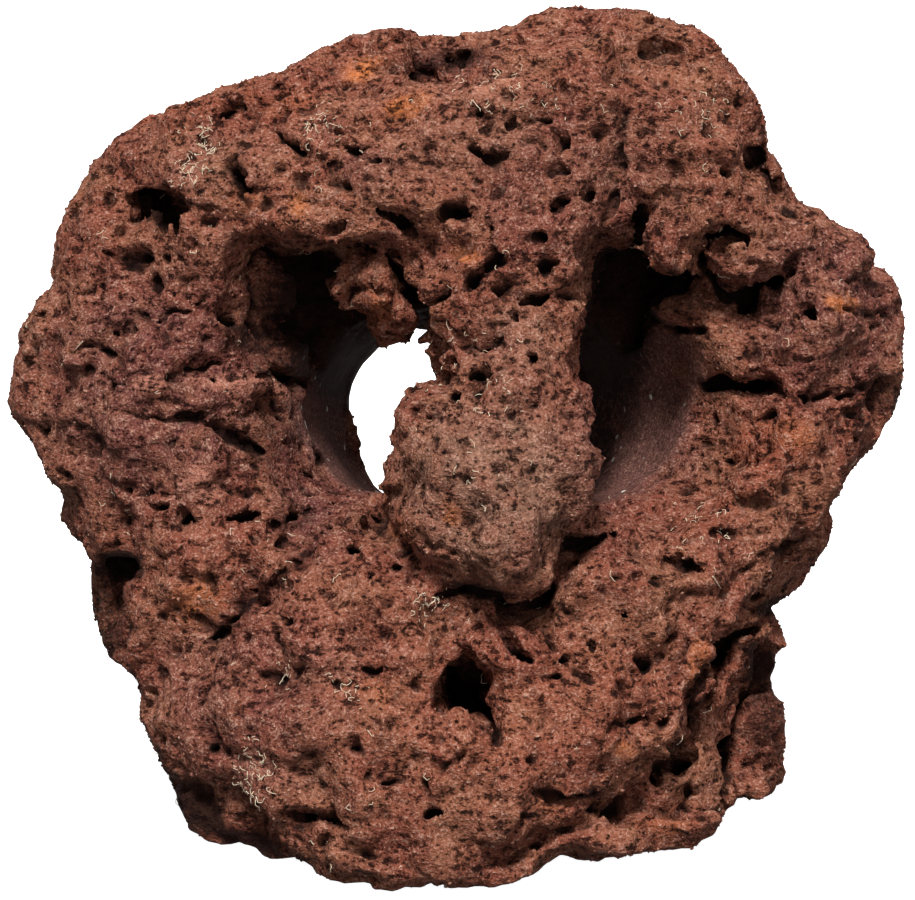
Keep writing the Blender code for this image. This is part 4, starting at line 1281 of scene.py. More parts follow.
    def open_pit(self, pit: Pit) -> None:
        """Cuts a pit as one hole with smaller bites around its rim, so that its edge is ragged, and paints
        shade in it.

        Args:
            pit: The pit.
        """
        around = self.draws.uniform(0.0, math.tau, self.pit_bites)
        sizes = self.draws.uniform(*self.bite_sizes, self.pit_bites)
        reaches = self.draws.uniform(*self.bite_reaches, self.pit_bites)
        front = self.field.depth_at(pit.across, pit.up)
        if front is None:
            return
        # Paints shade inside the pit, darker for a deeper pit.
        margin = self.pit_shade_margin
        self.shade_spots.append((
            pit.across, pit.up, pit.half_width + margin, pit.half_height + margin, pit.roll,
            self.pit_shade * min(1.0, pit.depth / self.black_depth), front + self.dark_rise))
        across, up, out = LAYOUT.axes()
        roll = math.radians(pit.roll)
        long_way = np.array((math.cos(roll), math.sin(roll)))
        short_way = np.array((-math.sin(roll), math.cos(roll)))
        turn = np.stack((long_way @ (across, up), short_way @ (across, up), out))
        centre = LAYOUT.place(pit.across, pit.up, front - self.pit_sink * pit.depth)
        width, height = self.pit_core
        halves = (width * pit.half_width, height * pit.half_height, pit.depth)
        self.field.stamp(centre, halves, turn, True, self.pit_blend)
        middle = np.array((pit.across, pit.up))
        extra, deep = self.bite_depth
        for angle, size, reach in zip(around, sizes, reaches):
            step = (long_way * math.cos(angle) * pit.half_width
                    + short_way * math.sin(angle) * pit.half_height)
            small = size * math.sqrt(pit.half_width * pit.half_height)
            centre = LAYOUT.place(*(middle + reach * step), front - self.bite_sink * pit.depth)
            halves = (self.bite_length * small, small, (extra + size) * deep * pit.depth)
            self.field.stamp(centre, halves, turn, True, self.bite_blend)

    def shred(self) -> None:
        """Makes the ragged places more ragged."""
        cell, height = self.shreds
        relief = height * folded_noise(self.field, cell, self.draws)
        flat = self.field.values.reshape(-1)
        numbers = np.flatnonzero(np.abs(flat) < self.shred_band)
        cover = spots_cover(RAGGED, LAYOUT.read(self.field.points_at(numbers)))
        flat[numbers] -= relief.ravel()[numbers] * cover

    def twist(self) -> None:
        """Bends every form a little, so that none stays a plain ball."""
        shifts = [np.zeros(self.field.shape, np.float32) for _ in range(3)]
        for cell, shift in self.bends:
            for total in shifts:
                total += self.rough * shift * rolling_noise(self.field, (cell,) * 3, self.draws)
        self.field.bend(shifts, self.bend_reach)

    def crumble(self) -> None:
        """Adds the fine crumb."""
        cell, height = self.crumb
        self.field.values -= self.rough * height * folded_noise(self.field, cell, self.draws)

    def keep_in_box(self, node: bpy.types.Object) -> None:
        """Keeps the skin inside the solid's box, and clear of the floor.

        Args:
            node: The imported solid.
        """
        values = self.field.values
        low, high = (np.array(corner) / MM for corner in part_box(node.name))
        low[2] += self.floor_clearance
        for number, line in enumerate(self.field.coordinates()):
            np.maximum(values, low[number] - line, out=values)
            np.maximum(values, line - high[number], out=values)

    def build(self, node: bpy.types.Object) -> bpy.types.Object:
        """Makes the skin's mesh, with the attributes that its finish reads.

        Args:
            node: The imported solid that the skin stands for.

        Returns:
            The skin.
        """
        self.carve(node)
        points, triangles = self.field.polygons()
        log.info("skin drawn with %d triangles", len(triangles))
        points, triangles = largest_shell(points, triangles)
        skin = placed(self.name, triangle_mesh(self.name, points * MM, triangles))
        thin_out(skin, self.triangles)
        points, triangles = largest_shell(point_rows(skin.data) / MM, triangle_rows(skin.data))
        old = skin.data
        skin.data = triangle_mesh(self.name + "_final", points * MM, triangles)
        bpy.data.meshes.remove(old)
        skin.data.name = self.name
        self.paint(skin, points)
        skin.data.shade_smooth()
        return skin

    def paint(self, skin: bpy.types.Object, points: np.ndarray) -> None:
        """Stores how hollow, drilled, gritty and tinted the stone is at each point of the skin, and its
        painted shade.

        Args:
            skin: The skin.
            points: The skin's points, in millimetres, one to a row.
        """
        field = self.field
        solid = np.clip(0.5 - field.values / field.spacing, 0.0, 1.0)
        # How enclosed each point is; the finish paints shade in hollows from it.
        near = averaged(averaged(solid, self.near_window), self.near_window)
        far = averaged(averaged(near, self.far_window), self.far_window)
        set_attribute(skin, "hollow_near", field.sample(points, near))
        set_attribute(skin, "hollow_far", field.sample(points, far))
        places = LAYOUT.read(points)
        out = places[2]
        drilled = 1.0 - smooth_step(np.abs(bore_distance_at(points)), *self.drilled_fade)
        drilled = drilled * (1.0 - smooth_step(out, *self.pillar_fade))
        set_attribute(skin, "drilled", drilled)
        set_attribute(skin, "grit", (1.0 - drilled) * smooth_step(points[:, 2], *self.floor_fade))
        facing = smooth_step(field.slope(points) @ LAYOUT.axes()[2], *self.facing_fade)
        face = smooth_step(out, *self.face_fade) * facing
        inside = smooth_step(out, *self.shade_fade) * facing
        for tint, rows in TINTED.items():
            if tint is Tint.SHADE:
                cover = spots_cover((*rows, *self.shade_spots), places) * inside
            else:
                cover = spots_cover(rows, places) * face
            set_attribute(skin, tint.value, cover)
        rootlets = spots_cover(ROOTED, places) * face
        set_attribute(skin, "rootlets", np.maximum(rootlets, self.stray_rootlets) * (1.0 - drilled))


def axis_distance(field: DistanceField, bore: Bore) -> np.ndarray:
    """Works out the distance to a bore's axis over a field.

    Args:
        field: The field.
        bore: The bore.

    Returns:
        The distance at each grid point.
    """
    start, direction = bore_line(bore)
    dx, dy, dz = (part - place for part, place in zip(field.coordinates(), start))
    along = dx * direction[0] + dy * direction[1] + dz * direction[2]
    return np.sqrt(np.maximum(dx * dx + dy * dy + dz * dz - along * along, 0.0))


def bore_distance(field: DistanceField) -> np.ndarray:
    """Distance to the nearest bore's wall over a field, below zero inside the bore."""
    return np.minimum(*(axis_distance(field, bore) - bore.radius for bore in BORES))


def bore_distance_at(points: np.ndarray) -> np.ndarray:
    """Works out the distance to the nearest bore's wall at some points.

    Args:
        points: The points in millimetres, one to a row.

    Returns:
        One distance for each point, below zero inside the bore.
    """
    best = np.full(len(points), np.inf)
    for bore in BORES:
        start, direction = bore_line(bore)
        offset = points - start
        along = offset @ direction
        square = np.einsum("ij,ij->i", offset, offset) - along**2
        best = np.minimum(best, np.sqrt(np.maximum(square, 0.0)) - bore.radius)
    return best


def bore_line(bore: Bore) -> tuple[np.ndarray, np.ndarray]:
    """Finds a bore's axis.

    Args:
        bore: The bore.

    Returns:
        The axis's starting point, and its direction as a unit vector.
    """
    start = LAYOUT.place(*bore.back)
    direction = LAYOUT.place(*bore.front) - start
    return start, direction / np.linalg.norm(direction)


# --- meshes --------------------------------------------------------------------------------------------


def point_rows(mesh: bpy.types.Mesh) -> np.ndarray:
    """A mesh's points, one to a row."""
    rows = np.empty(len(mesh.vertices) * 3)
    mesh.vertices.foreach_get("co", rows)
    return rows.reshape(-1, 3)


def triangle_rows(mesh: bpy.types.Mesh) -> np.ndarray:
    """A mesh's triangles, as rows of three point numbers."""
    mesh.calc_loop_triangles()
    rows = np.empty(len(mesh.loop_triangles) * 3, np.int32)
    mesh.loop_triangles.foreach_get("vertices", rows)
    return rows.reshape(-1, 3)


def merged_triangles(node: bpy.types.Object) -> tuple[np.ndarray, np.ndarray]:
    """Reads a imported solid, with the points of neighbouring triangles made one.

    Args:
        node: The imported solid.

    Returns:
        Its points in metres and its triangles, one to a row.
    """
    shape = bmesh.new()
    shape.from_mesh(node.data)
    bmesh.ops.remove_doubles(shape, verts=shape.verts, dist=MERGE_DISTANCE)
    copy = bpy.data.meshes.new("merged")
    shape.to_mesh(copy)
    shape.free()
    points, triangles = point_rows(copy), triangle_rows(copy)
    bpy.data.meshes.remove(copy)
    return points, triangles


def triangle_mesh(name: str, points: np.ndarray, triangles: np.ndarray) -> bpy.types.Mesh:
    """Makes a mesh.

    Args:
        name: Its name.
        points: Its points in metres, one to a row.
        triangles: Its triangles, as rows of three point numbers.

    Returns:
        The mesh.
    """
    mesh = bpy.data.meshes.new(name)
    mesh.vertices.add(len(points))
    mesh.vertices.foreach_set("co", points.astype(np.float32).ravel())
    mesh.loops.add(len(triangles) * 3)
    mesh.loops.foreach_set("vertex_index", triangles.astype(np.int32).ravel())
    mesh.polygons.add(len(triangles))
    mesh.polygons.foreach_set("loop_start", np.arange(0, len(triangles) * 3, 3, dtype=np.int32))
    mesh.update(calc_edges=True)
    mesh.validate()
    return mesh


def placed(name: str, data: bpy.types.ID) -> bpy.types.Object:
    """Makes an object of a mesh, curve, light or camera, and puts it into the scene."""
    piece = bpy.data.objects.new(name, data)
    bpy.context.scene.collection.objects.link(piece)
    return piece


def largest_shell(points: np.ndarray, triangles: np.ndarray) -> tuple[np.ndarray, np.ndarray]:
    """Keeps the biggest connected shell of a mesh, without loose crumbs and sealed bubbles.

    Args:
        points: The mesh's points, one to a row.
        triangles: Its triangles, as rows of three point numbers.

    Returns:
        The shell's points and triangles.
    """
    label = np.arange(len(points))
    edges = np.concatenate((triangles[:, (0, 1)], triangles[:, (1, 2)], triangles[:, (2, 0)]))
    while True:
        least = np.minimum(label[edges[:, 0]], label[edges[:, 1]])
        merged = label.copy()
        for ends in edges.T:
            np.minimum.at(merged, ends, least)
            np.minimum.at(merged, label[ends], least)
        merged = merged[merged]
        if np.array_equal(merged, label):
            break
        label = merged
    face_label = label[triangles[:, 0]]
    names, counts = np.unique(face_label, return_counts=True)
    kept = triangles[face_label == names[np.argmax(counts)]]
    used, numbers = np.unique(kept, return_inverse=True)
    return points[used], numbers.reshape(-1, 3)


def thin_out(piece: bpy.types.Object, triangles: int) -> None:
    """Thins a piece's mesh and keeps its forms.

    Args:
        piece: The piece.
        triangles: About how many triangles are left.
    """
    modifier = piece.modifiers.new("thin", "DECIMATE")
    modifier.ratio = min(1.0, triangles / len(piece.data.polygons))
    settle(piece)


def settle(piece: bpy.types.Object) -> None:
    """Makes a piece's evaluated shape its plain mesh, and removes its modifiers.

    Args:
        piece: The piece.
    """
    evaluated = piece.evaluated_get(bpy.context.evaluated_depsgraph_get())
    mesh = bpy.data.meshes.new_from_object(evaluated)
    old = piece.data
    piece.modifiers.clear()
    piece.data = mesh
    bpy.data.meshes.remove(old)


def set_attribute(piece: bpy.types.Object, name: str, values: np.ndarray) -> None:
    """Stores one number for each point of a piece."""
    attribute = piece.data.attributes.new(name, "FLOAT", "POINT")
    attribute.data.foreach_set("value", np.ascontiguousarray(values, np.float32))


# --- node trees ----------------------------------------------------------------------------------------


class NodeBench:
    """Sets out the nodes of one tree and links them."""

    def __init__(self, tree: bpy.types.NodeTree) -> None:
        """Takes the tree to work on."""
        self.tree = tree

    def node(self, kind: str, inputs: dict[str | int, Any] | None = None,
             **settings: Any) -> bpy.types.Node:
        """Adds a node.

        Args:
            kind: The node's type.
            inputs: What goes into its sockets, by name or number: another node's socket, or a plain value.
            settings: Its own properties.

        Returns:
            The node.
        """
        node = self.tree.nodes.new(kind)
        for name, value in settings.items():
            setattr(node, name, value)
        for socket, value in (inputs or {}).items():
            if isinstance(value, bpy.types.NodeSocket):
                self.tree.links.new(value, node.inputs[socket])
            else:
                node.inputs[socket].default_value = value
        return node

    def mix(self, share: Any, first: Any, second: Any) -> bpy.types.NodeSocket:
        """Mixes two colours."""
        return self.node("ShaderNodeMix", {0: share, 6: first, 7: second}, data_type="RGBA").outputs[2]

    def ramp(self, value: Any, low: float, high: float, to_low: float = 0.0,
             to_high: float = 1.0) -> bpy.types.NodeSocket:
        """Maps a value from one range to another, and holds it there."""
        inputs = {"Value": value, "From Min": low, "From Max": high, "To Min": to_low, "To Max": to_high}
        return self.node("ShaderNodeMapRange", inputs, clamp=True).outputs[0]

    def math(self, operation: str, first: Any, second: Any = 0.0) -> bpy.types.NodeSocket:
        """Works out one sum."""
        return self.node("ShaderNodeMath", {0: first, 1: second}, operation=operation).outputs[0]

    def blend(self, values: tuple[Any, ...], weights: tuple[float, ...]) -> bpy.types.NodeSocket:
        """Adds up some values, each times its weight.

        Args:
            values: The values.
            weights: The weight of each.

        Returns:
            The sum.
        """
        total, *others = (self.math("MULTIPLY", *pair) for pair in zip(values, weights))
        for part in others:
            total = self.math("ADD", total, part)
        return total

    def vector(self, operation: str, first: Any, second: Any) -> bpy.types.NodeSocket:
        """Works out one sum of vectors."""
        return self.node("ShaderNodeVectorMath", {0: first, 1: second}, operation=operation).outputs[0]

    def scaled(self, vector: Any, factor: Any) -> bpy.types.NodeSocket:
        """Makes a vector longer or shorter."""
        return self.node("ShaderNodeVectorMath", {0: vector, 3: factor}, operation="SCALE").outputs[0]

    def random_number(self, low: Any, high: Any, seed: int) -> bpy.types.NodeSocket:
        """Draws a number for each thing that a tree makes."""
        inputs = {2: low, 3: high, "Seed": seed}
        return self.node("FunctionNodeRandomValue", inputs, data_type="FLOAT").outputs[1]

    def random_vector(self, low: Vector3, high: Vector3, seed: int) -> bpy.types.NodeSocket:
        """Draws a vector for each thing that a tree makes."""
        inputs = {0: low, 1: high, "Seed": seed}
        return self.node("FunctionNodeRandomValue", inputs, data_type="FLOAT_VECTOR").outputs[0]

    def noise(self, place: Any, scale: float, detail: float,
              roughness: float = 0.5) -> bpy.types.NodeSocket:
        """Adds a noise texture and gives its value."""
        inputs = {"Vector": place, "Scale": scale, "Detail": detail, "Roughness": roughness}
        return self.node("ShaderNodeTexNoise", inputs).outputs[0]

    def attribute(self, name: str) -> bpy.types.NodeSocket:
        """Reads one of the piece's attributes in a material."""
        return self.node("ShaderNodeAttribute", attribute_name=name).outputs["Fac"]


def rgba(colour: Colour) -> tuple[float, float, float, float]:
    """A colour with full cover."""
    return (*colour, 1.0)


def new_material(name: str) -> tuple[bpy.types.Material, NodeBench, bpy.types.Node]:
    """Makes a material.

    Args:
        name: The material's name.

    Returns:
        The material, a bench for its nodes, and its Principled BSDF.
    """
    material = bpy.data.materials.new(name)
    material.use_nodes = True
    return material, NodeBench(material.node_tree), material.node_tree.nodes["Principled BSDF"]


@dataclass(frozen=True)
class ScoriaFinish:
    """Red-brown scoria: mottled, crumbly and dull, with painted shade in its hollows and gaps, grey brown
    where drilled.

    A noise is given by how many swells it has to a metre, its detail and its roughness. A range is where a
    mix starts and ends, and its most is how far it goes.
    """

    name: str = "red_scoria_stone"
    red_brown: Colour = (0.252, 0.073, 0.044)
    tan_brown: Colour = (0.305, 0.114, 0.064)
    umber: Colour = (0.100, 0.031, 0.021)
    pale_grain: Colour = (0.650, 0.365, 0.270)
    # Dark pores, and painted shade in the gaps between grains.
    pore_and_gap_shade: Colour = (0.012, 0.004, 0.003)
    orange: Colour = (0.560, 0.170, 0.055)
    rust: Colour = (0.295, 0.078, 0.042)
    plum: Colour = (0.150, 0.046, 0.040)
    olive: Colour = (0.262, 0.128, 0.084)
    # Pink, partly a painted highlight on lit bulges.
    pink: Colour = (0.520, 0.205, 0.140)
    drilled: Colour = (0.128, 0.056, 0.046)
    # Painted shade for hollows, pits and gaps.
    hollow: Colour = (0.013, 0.005, 0.004)
    speck: Colour = (0.85, 0.80, 0.72)
    roughness: float = 1.0
    sheen_level: float = 0.08
    bump_height: float = 1.4 * MM
    drilled_bump: float = 0.5
    grain_noise: Vector3 = (1500.0, 3.0, 0.65)
    crumb_noise: Vector3 = (560.0, 4.0, 0.62)
    streak_noise: Vector3 = (420.0, 4.0, 0.6)
    streak_turn: float = math.radians(18.0)
    streak_stretch: Vector3 = (0.42, 0.42, 1.25)
    # Weights of the grain, the crumb and the streaks, then of the grit's own tone or of the gaps.
    speckle_weights: tuple[float, ...] = (0.50, 0.30, 0.20, 0.16)
    relief_weights: tuple[float, ...] = (0.8, 1.3, 0.9, -0.5)
    # Weights of the crumb and the streaks.
    gap_weights: Pair = (0.55, 0.45)
    broad_noise: Vector3 = (55.0, 3.0, 0.6)
    broad_range: Pair = (0.38, 0.60)
    ragged_noise: Vector3 = (160.0, 4.0, 0.6)
    ragged_range: Pair = (0.30, 0.70)
    ragged_share: Pair = (0.25, 1.25)
    blot_noise: Vector3 = (230.0, 4.0, 0.6)
    blot_range: Pair = (0.50, 0.68)
    blot_most: float = 0.75
    # The drilled wall: its pale grains, its dark pores and its specks.
    wall_pale_range: Pair = (0.56, 0.70)
    wall_pale_most: float = 0.5
    wall_dark_range: Pair = (0.46, 0.34)
    wall_dark_most: float = 0.9
    speck_scale: float = 210.0
    speck_choice: Pair = (0.50, 0.54)
    speck_edge: Pair = (0.18, 0.12)
    # The marks over all of it, in the order in which they are laid on.
    # Near, far and shade are painted shade in hollows, pits and gaps.
    pale_range: Pair = (0.52, 0.64)
    pale_most: float = 0.80
    dark_range: Pair = (0.48, 0.39)
    dark_most: float = 0.90
    gap_range: Pair = (0.455, 0.395)
    gap_most: float = 0.80
    drilled_most: float = 0.9
    near_range: Pair = (0.54, 0.76)
    far_range: Pair = (0.60, 0.80)
    hollow_shade_most: float = 0.92
    shade_range: Pair = (0.20, 0.80)
    shade_most: float = 0.95
    shade_edge: Pair = (0.35, 0.65)
    shade_ragged: float = 0.25

    def material(self) -> bpy.types.Material:
        """Builds the stone's material."""
        material, bench, shader = new_material(self.name)
        place = bench.node("ShaderNodeTexCoord").outputs["Object"]
        grain = bench.noise(place, *self.grain_noise)
        crumb = bench.noise(place, *self.crumb_noise)
        drawn = bench.node("ShaderNodeMapping", {
            "Vector": place, "Rotation": (0.0, self.streak_turn, 0.0), "Scale": self.streak_stretch})
        streaks = bench.noise(drawn.outputs[0], *self.streak_noise)
        tone = bench.attribute("grain_tone")
        speckle = bench.blend((grain, crumb, streaks, tone), self.speckle_weights)
        gaps = bench.ramp(bench.blend((crumb, streaks), self.gap_weights), *self.gap_range)
        pale = bench.ramp(speckle, *self.pale_range, 0.0, self.pale_most)
        dark = bench.ramp(speckle, *self.dark_range, 0.0, self.dark_most)
        drilled = bench.attribute("drilled")
        wall = self.drilled_wall(bench, place, grain)
        near = bench.ramp(bench.attribute("hollow_near"), *self.near_range, 0.0, self.hollow_shade_most)
        far = bench.ramp(bench.attribute("hollow_far"), *self.far_range, 0.0, self.hollow_shade_most)
        edge = bench.ramp(crumb, *self.shade_edge, -self.shade_ragged, self.shade_ragged)
        shade = bench.math("ADD", bench.attribute(Tint.SHADE.value), edge)
        shade = bench.ramp(shade, *self.shade_range, 0.0, self.shade_most)
        colour = self.mottle(bench, place)
        # Pale grains, dark pores with painted shade between grains, the drilled wall, then painted shade in
        # hollows and dark spots.
        for share, layer in (
                (pale, rgba(self.pale_grain)), (dark, rgba(self.pore_and_gap_shade)),
                (bench.math("MULTIPLY", gaps, self.gap_most), rgba(self.pore_and_gap_shade)),
                (bench.math("MULTIPLY", drilled, self.drilled_most), wall),
                (near, rgba(self.hollow)), (far, rgba(self.hollow)), (shade, rgba(self.hollow))):
            colour = bench.mix(share, colour, layer)
        relief = bench.blend((grain, crumb, streaks, gaps), self.relief_weights)
        strength = bench.ramp(drilled, 0.0, 1.0, 1.0, self.drilled_bump)
        bump = bench.node("ShaderNodeBump", {
            "Height": relief, "Distance": self.bump_height, "Strength": strength})
        shader.inputs["Roughness"].default_value = self.roughness
        shader.inputs["Specular IOR Level"].default_value = self.sheen_level
        bench.tree.links.new(colour, shader.inputs["Base Color"])
        bench.tree.links.new(bump.outputs[0], shader.inputs["Normal"])
        return material

    def mottle(self, bench: NodeBench, place: bpy.types.NodeSocket) -> bpy.types.NodeSocket:
        """Mixes the stone's colours: red brown and tan, then the tinted places, the pink ones partly a
        painted highlight, and blots of umber.

        Args:
            bench: The bench for the material's nodes.
            place: The place on the stone.

        Returns:
            The mixed colour.
        """
        broad = bench.ramp(bench.noise(place, *self.broad_noise), *self.broad_range)
        colour = bench.mix(broad, rgba(self.tan_brown), rgba(self.red_brown))
        ragged = bench.ramp(bench.noise(place, *self.ragged_noise), *self.ragged_range, *self.ragged_share)
        tints = ((Tint.PLUM, self.plum), (Tint.OLIVE, self.olive), (Tint.RUST, self.rust),
                 (Tint.PINK, self.pink), (Tint.ORANGE, self.orange))
        for tint, shade in tints:
            share = bench.math("MULTIPLY", bench.attribute(tint.value), ragged)
            colour = bench.mix(share, colour, rgba(shade))
        blots = bench.ramp(bench.noise(place, *self.blot_noise), *self.blot_range, 0.0, self.blot_most)
        return bench.mix(blots, colour, rgba(self.umber))

    def drilled_wall(self, bench: NodeBench, place: bpy.types.NodeSocket,
                     grain: bpy.types.NodeSocket) -> bpy.types.NodeSocket:
        """Mixes the colours of a drilled wall: grey brown with dark pores and a few white specks.

        Args:
            bench: The bench for the material's nodes.
            place: The place on the stone.
            grain: The stone's finest noise.

        Returns:
            The mixed colour.
        """
        pale = bench.ramp(grain, *self.wall_pale_range, 0.0, self.wall_pale_most)
        wall = bench.mix(pale, rgba(self.drilled), rgba(self.pale_grain))
        dark = bench.ramp(grain, *self.wall_dark_range, 0.0, self.wall_dark_most)
        wall = bench.mix(dark, wall, rgba(self.pore_and_gap_shade))
        cells = bench.node("ShaderNodeTexVoronoi", {"Vector": place, "Scale": self.speck_scale})
        chosen = bench.ramp(cells.outputs["Color"], *self.speck_choice)
        speck = bench.math("MULTIPLY", bench.ramp(cells.outputs["Distance"], *self.speck_edge), chosen)
        return bench.mix(speck, wall, rgba(self.speck))


@dataclass(frozen=True)
class RootletFinish:
    """Dry cream rootlets, a little brown in places."""

    name: str = "dry_rootlets"
    cream: Colour = (0.70, 0.57, 0.41)
    brown: Colour = (0.42, 0.27, 0.17)
    roughness: float = 0.7
    patch_scale: float = 260.0
    patch_range: Pair = (0.45, 0.70)

    def material(self) -> bpy.types.Material:
        """Builds the rootlets' material."""
        material, bench, shader = new_material(self.name)
        place = bench.node("ShaderNodeTexCoord").outputs["Object"]
        share = bench.ramp(bench.noise(place, self.patch_scale, 2.0), *self.patch_range)
        colour = bench.mix(share, rgba(self.cream), rgba(self.brown))
        bench.tree.links.new(colour, shader.inputs["Base Color"])
        shader.inputs["Roughness"].default_value = self.roughness
        return material


@dataclass(frozen=True)
class FloorFinish:
    """A plain pale studio floor."""

    name: str = "pale_floor"
    colour: Colour = (0.80, 0.80, 0.80)
    glow: float = 1.2
    roughness: float = 0.9

    def material(self) -> bpy.types.Material:
        """Builds the floor's material."""
        material, _, shader = new_material(self.name)
        shader.inputs["Base Color"].default_value = rgba(self.colour)
        shader.inputs["Emission Color"].default_value = rgba(self.colour)
        shader.inputs["Emission Strength"].default_value = self.glow
        shader.inputs["Roughness"].default_value = self.roughness
        return material


# --- grit and rootlets ---------------------------------------------------------------------------------


# Where rootlets cling: rows of Spot.
ROOTED = (
    (-63.1, 76.9, 4, 5), (-66.9, 70, 5, 5), (-34.4, 80.6, 6, 5, 0, 0.7), (-44.4, -56.2, 5, 5, 0, 0.6),
    (-30, -57.5, 4, 4, 0, 0.5), (-50.6, -80, 5, 8, 0, 0.8), (-7.5, -38.1, 6, 5, 0, 0.7),
    (-24.4, -60.6, 4, 4, 0, 0.5), (5, 10, 14, 30, 0, 0.09), (12, 90, 14, 6, 0, 0.3),
    (61.9, 85, 8, 8, 0, 0.2), (62, -20, 10, 10, 0, 0.2),
)


def tree_input(tree: bpy.types.NodeTree, name: str, kind: str) -> None:
    """Adds a named input to a Geometry Nodes tree."""
    tree.interface.new_socket(name, in_out="INPUT", socket_type=kind)


def set_tree_inputs(modifier: bpy.types.Modifier, values: dict[str, Any]) -> None:
    """Sets a modifier's inputs, each by its socket's identifier.

    Args:
        modifier: A Geometry Nodes modifier that has its tree.
        values: What goes into its inputs, by name.
    """
    for item in modifier.node_group.interface.items_tree:
        if item.item_type == "SOCKET" and item.in_out == "INPUT" and item.name in values:
            modifier[item.identifier] = values[item.name]


class Scatter:
    """A Geometry Nodes tree that sets small things over the skin. Sub-classes say what they are."""

    shared_inputs = (
        ("Things per square metre", "NodeSocketFloat"), ("Seed", "NodeSocketInt"),
        ("Material", "NodeSocketMaterial"), ("Lowest corner", "NodeSocketVector"),
        ("Highest corner", "NodeSocketVector"))

    def new_tree(self, name: str, inputs: tuple[tuple[str, str], ...]) -> tuple[NodeBench, bpy.types.Node]:
        """Makes the tree with its inputs.

        Args:
            name: The tree's name.
            inputs: The name and socket type of each input after the skin itself.

        Returns:
            A bench for the tree, and its Group Input node.
        """
        tree = bpy.data.node_groups.new(name, "GeometryNodeTree")
        tree_input(tree, "Geometry", "NodeSocketGeometry")
        for label, kind in (*inputs, *self.shared_inputs):
            tree_input(tree, label, kind)
        tree.interface.new_socket("Geometry", in_out="OUTPUT", socket_type="NodeSocketGeometry")
        bench = NodeBench(tree)
        return bench, bench.node("NodeGroupInput")

    def strew(self, bench: NodeBench, group: bpy.types.Node, cover: str) -> bpy.types.Node:
        """Picks places all over the skin, more of them where one of its attributes is high.

        Args:
            bench: The bench for the tree.
            group: The tree's Group Input node.
            cover: The attribute's name.

        Returns:
            The node that gives the places and their rotations.
        """
        share = bench.node("GeometryNodeInputNamedAttribute", {"Name": cover}, data_type="FLOAT").outputs[0]
        density = bench.math("MULTIPLY", group.outputs["Things per square metre"], share)
        return bench.node("GeometryNodeDistributePointsOnFaces", {
            "Mesh": group.outputs["Geometry"], "Density": density, "Seed": group.outputs["Seed"]})

    def jostle(self, bench: NodeBench, shape: bpy.types.NodeSocket, scale: float,
               push: float) -> bpy.types.NodeSocket:
        """Pushes every point of a shape about by a noise.

        Args:
            bench: The bench for the tree.
            shape: The shape.
            scale: How fine the noise is, in swells to a metre.
            push: How far it can push, in metres.

        Returns:
            The pushed shape.
        """
        here = bench.node("GeometryNodeInputPosition").outputs[0]
        noise = bench.node("ShaderNodeTexNoise", {"Vector": here, "Scale": scale, "Detail": 1.0})
        centred = bench.vector("SUBTRACT", noise.outputs["Color"], (0.5, 0.5, 0.5))
        return bench.node("GeometryNodeSetPosition", {
            "Geometry": shape, "Offset": bench.scaled(centred, push)}).outputs[0]

    def close_tree(self, bench: NodeBench, shape: bpy.types.NodeSocket, group: bpy.types.Node) -> None:
        """Holds everything inside the rock's box, and ends the tree in the material and the output.

        Args:
            bench: The bench for the tree.
            shape: What the tree has made.
            group: The tree's Group Input node.
        """
        here = bench.node("GeometryNodeInputPosition").outputs[0]
        raised = bench.vector("MAXIMUM", here, group.outputs["Lowest corner"])
        held = bench.vector("MINIMUM", raised, group.outputs["Highest corner"])
        kept = bench.node("GeometryNodeSetPosition", {"Geometry": shape, "Position": held})
        dressed = bench.node("GeometryNodeSetMaterial", {
            "Geometry": kept.outputs[0], "Material": group.outputs["Material"]})
        bench.node("NodeGroupOutput", {0: dressed.outputs[0]})

    def grow(self, name: str, skin: bpy.types.Object, tree: bpy.types.NodeTree,
             values: dict[str, Any]) -> bpy.types.Object:
        """Runs the tree on the skin and keeps what it makes as a plain mesh.

        Args:
            name: The new piece's name.
            skin: The piece that the things are set on.
            tree: The tree.
            values: Its inputs, by name.

        Returns:
            The new piece.
        """
        piece = placed(name, skin.data.copy())
        modifier = piece.modifiers.new("scatter", "NODES")
        modifier.node_group = tree
        low, high = cad_box
        set_tree_inputs(modifier, values | {"Lowest corner": tuple(low), "Highest corner": tuple(high)})
        settle(piece)
        piece.data.name = name
        return piece


class GritGrade(Enum):
    """The sizes that grit is sifted into: name, count, smallest and largest half size in millimetres."""

    COARSE = ("coarse_grit", 8000, 0.35, 0.70)
    MEDIUM = ("medium_grit", 9600, 0.28, 0.52)
    FINE = ("fine_grit", 9600, 0.20, 0.42)


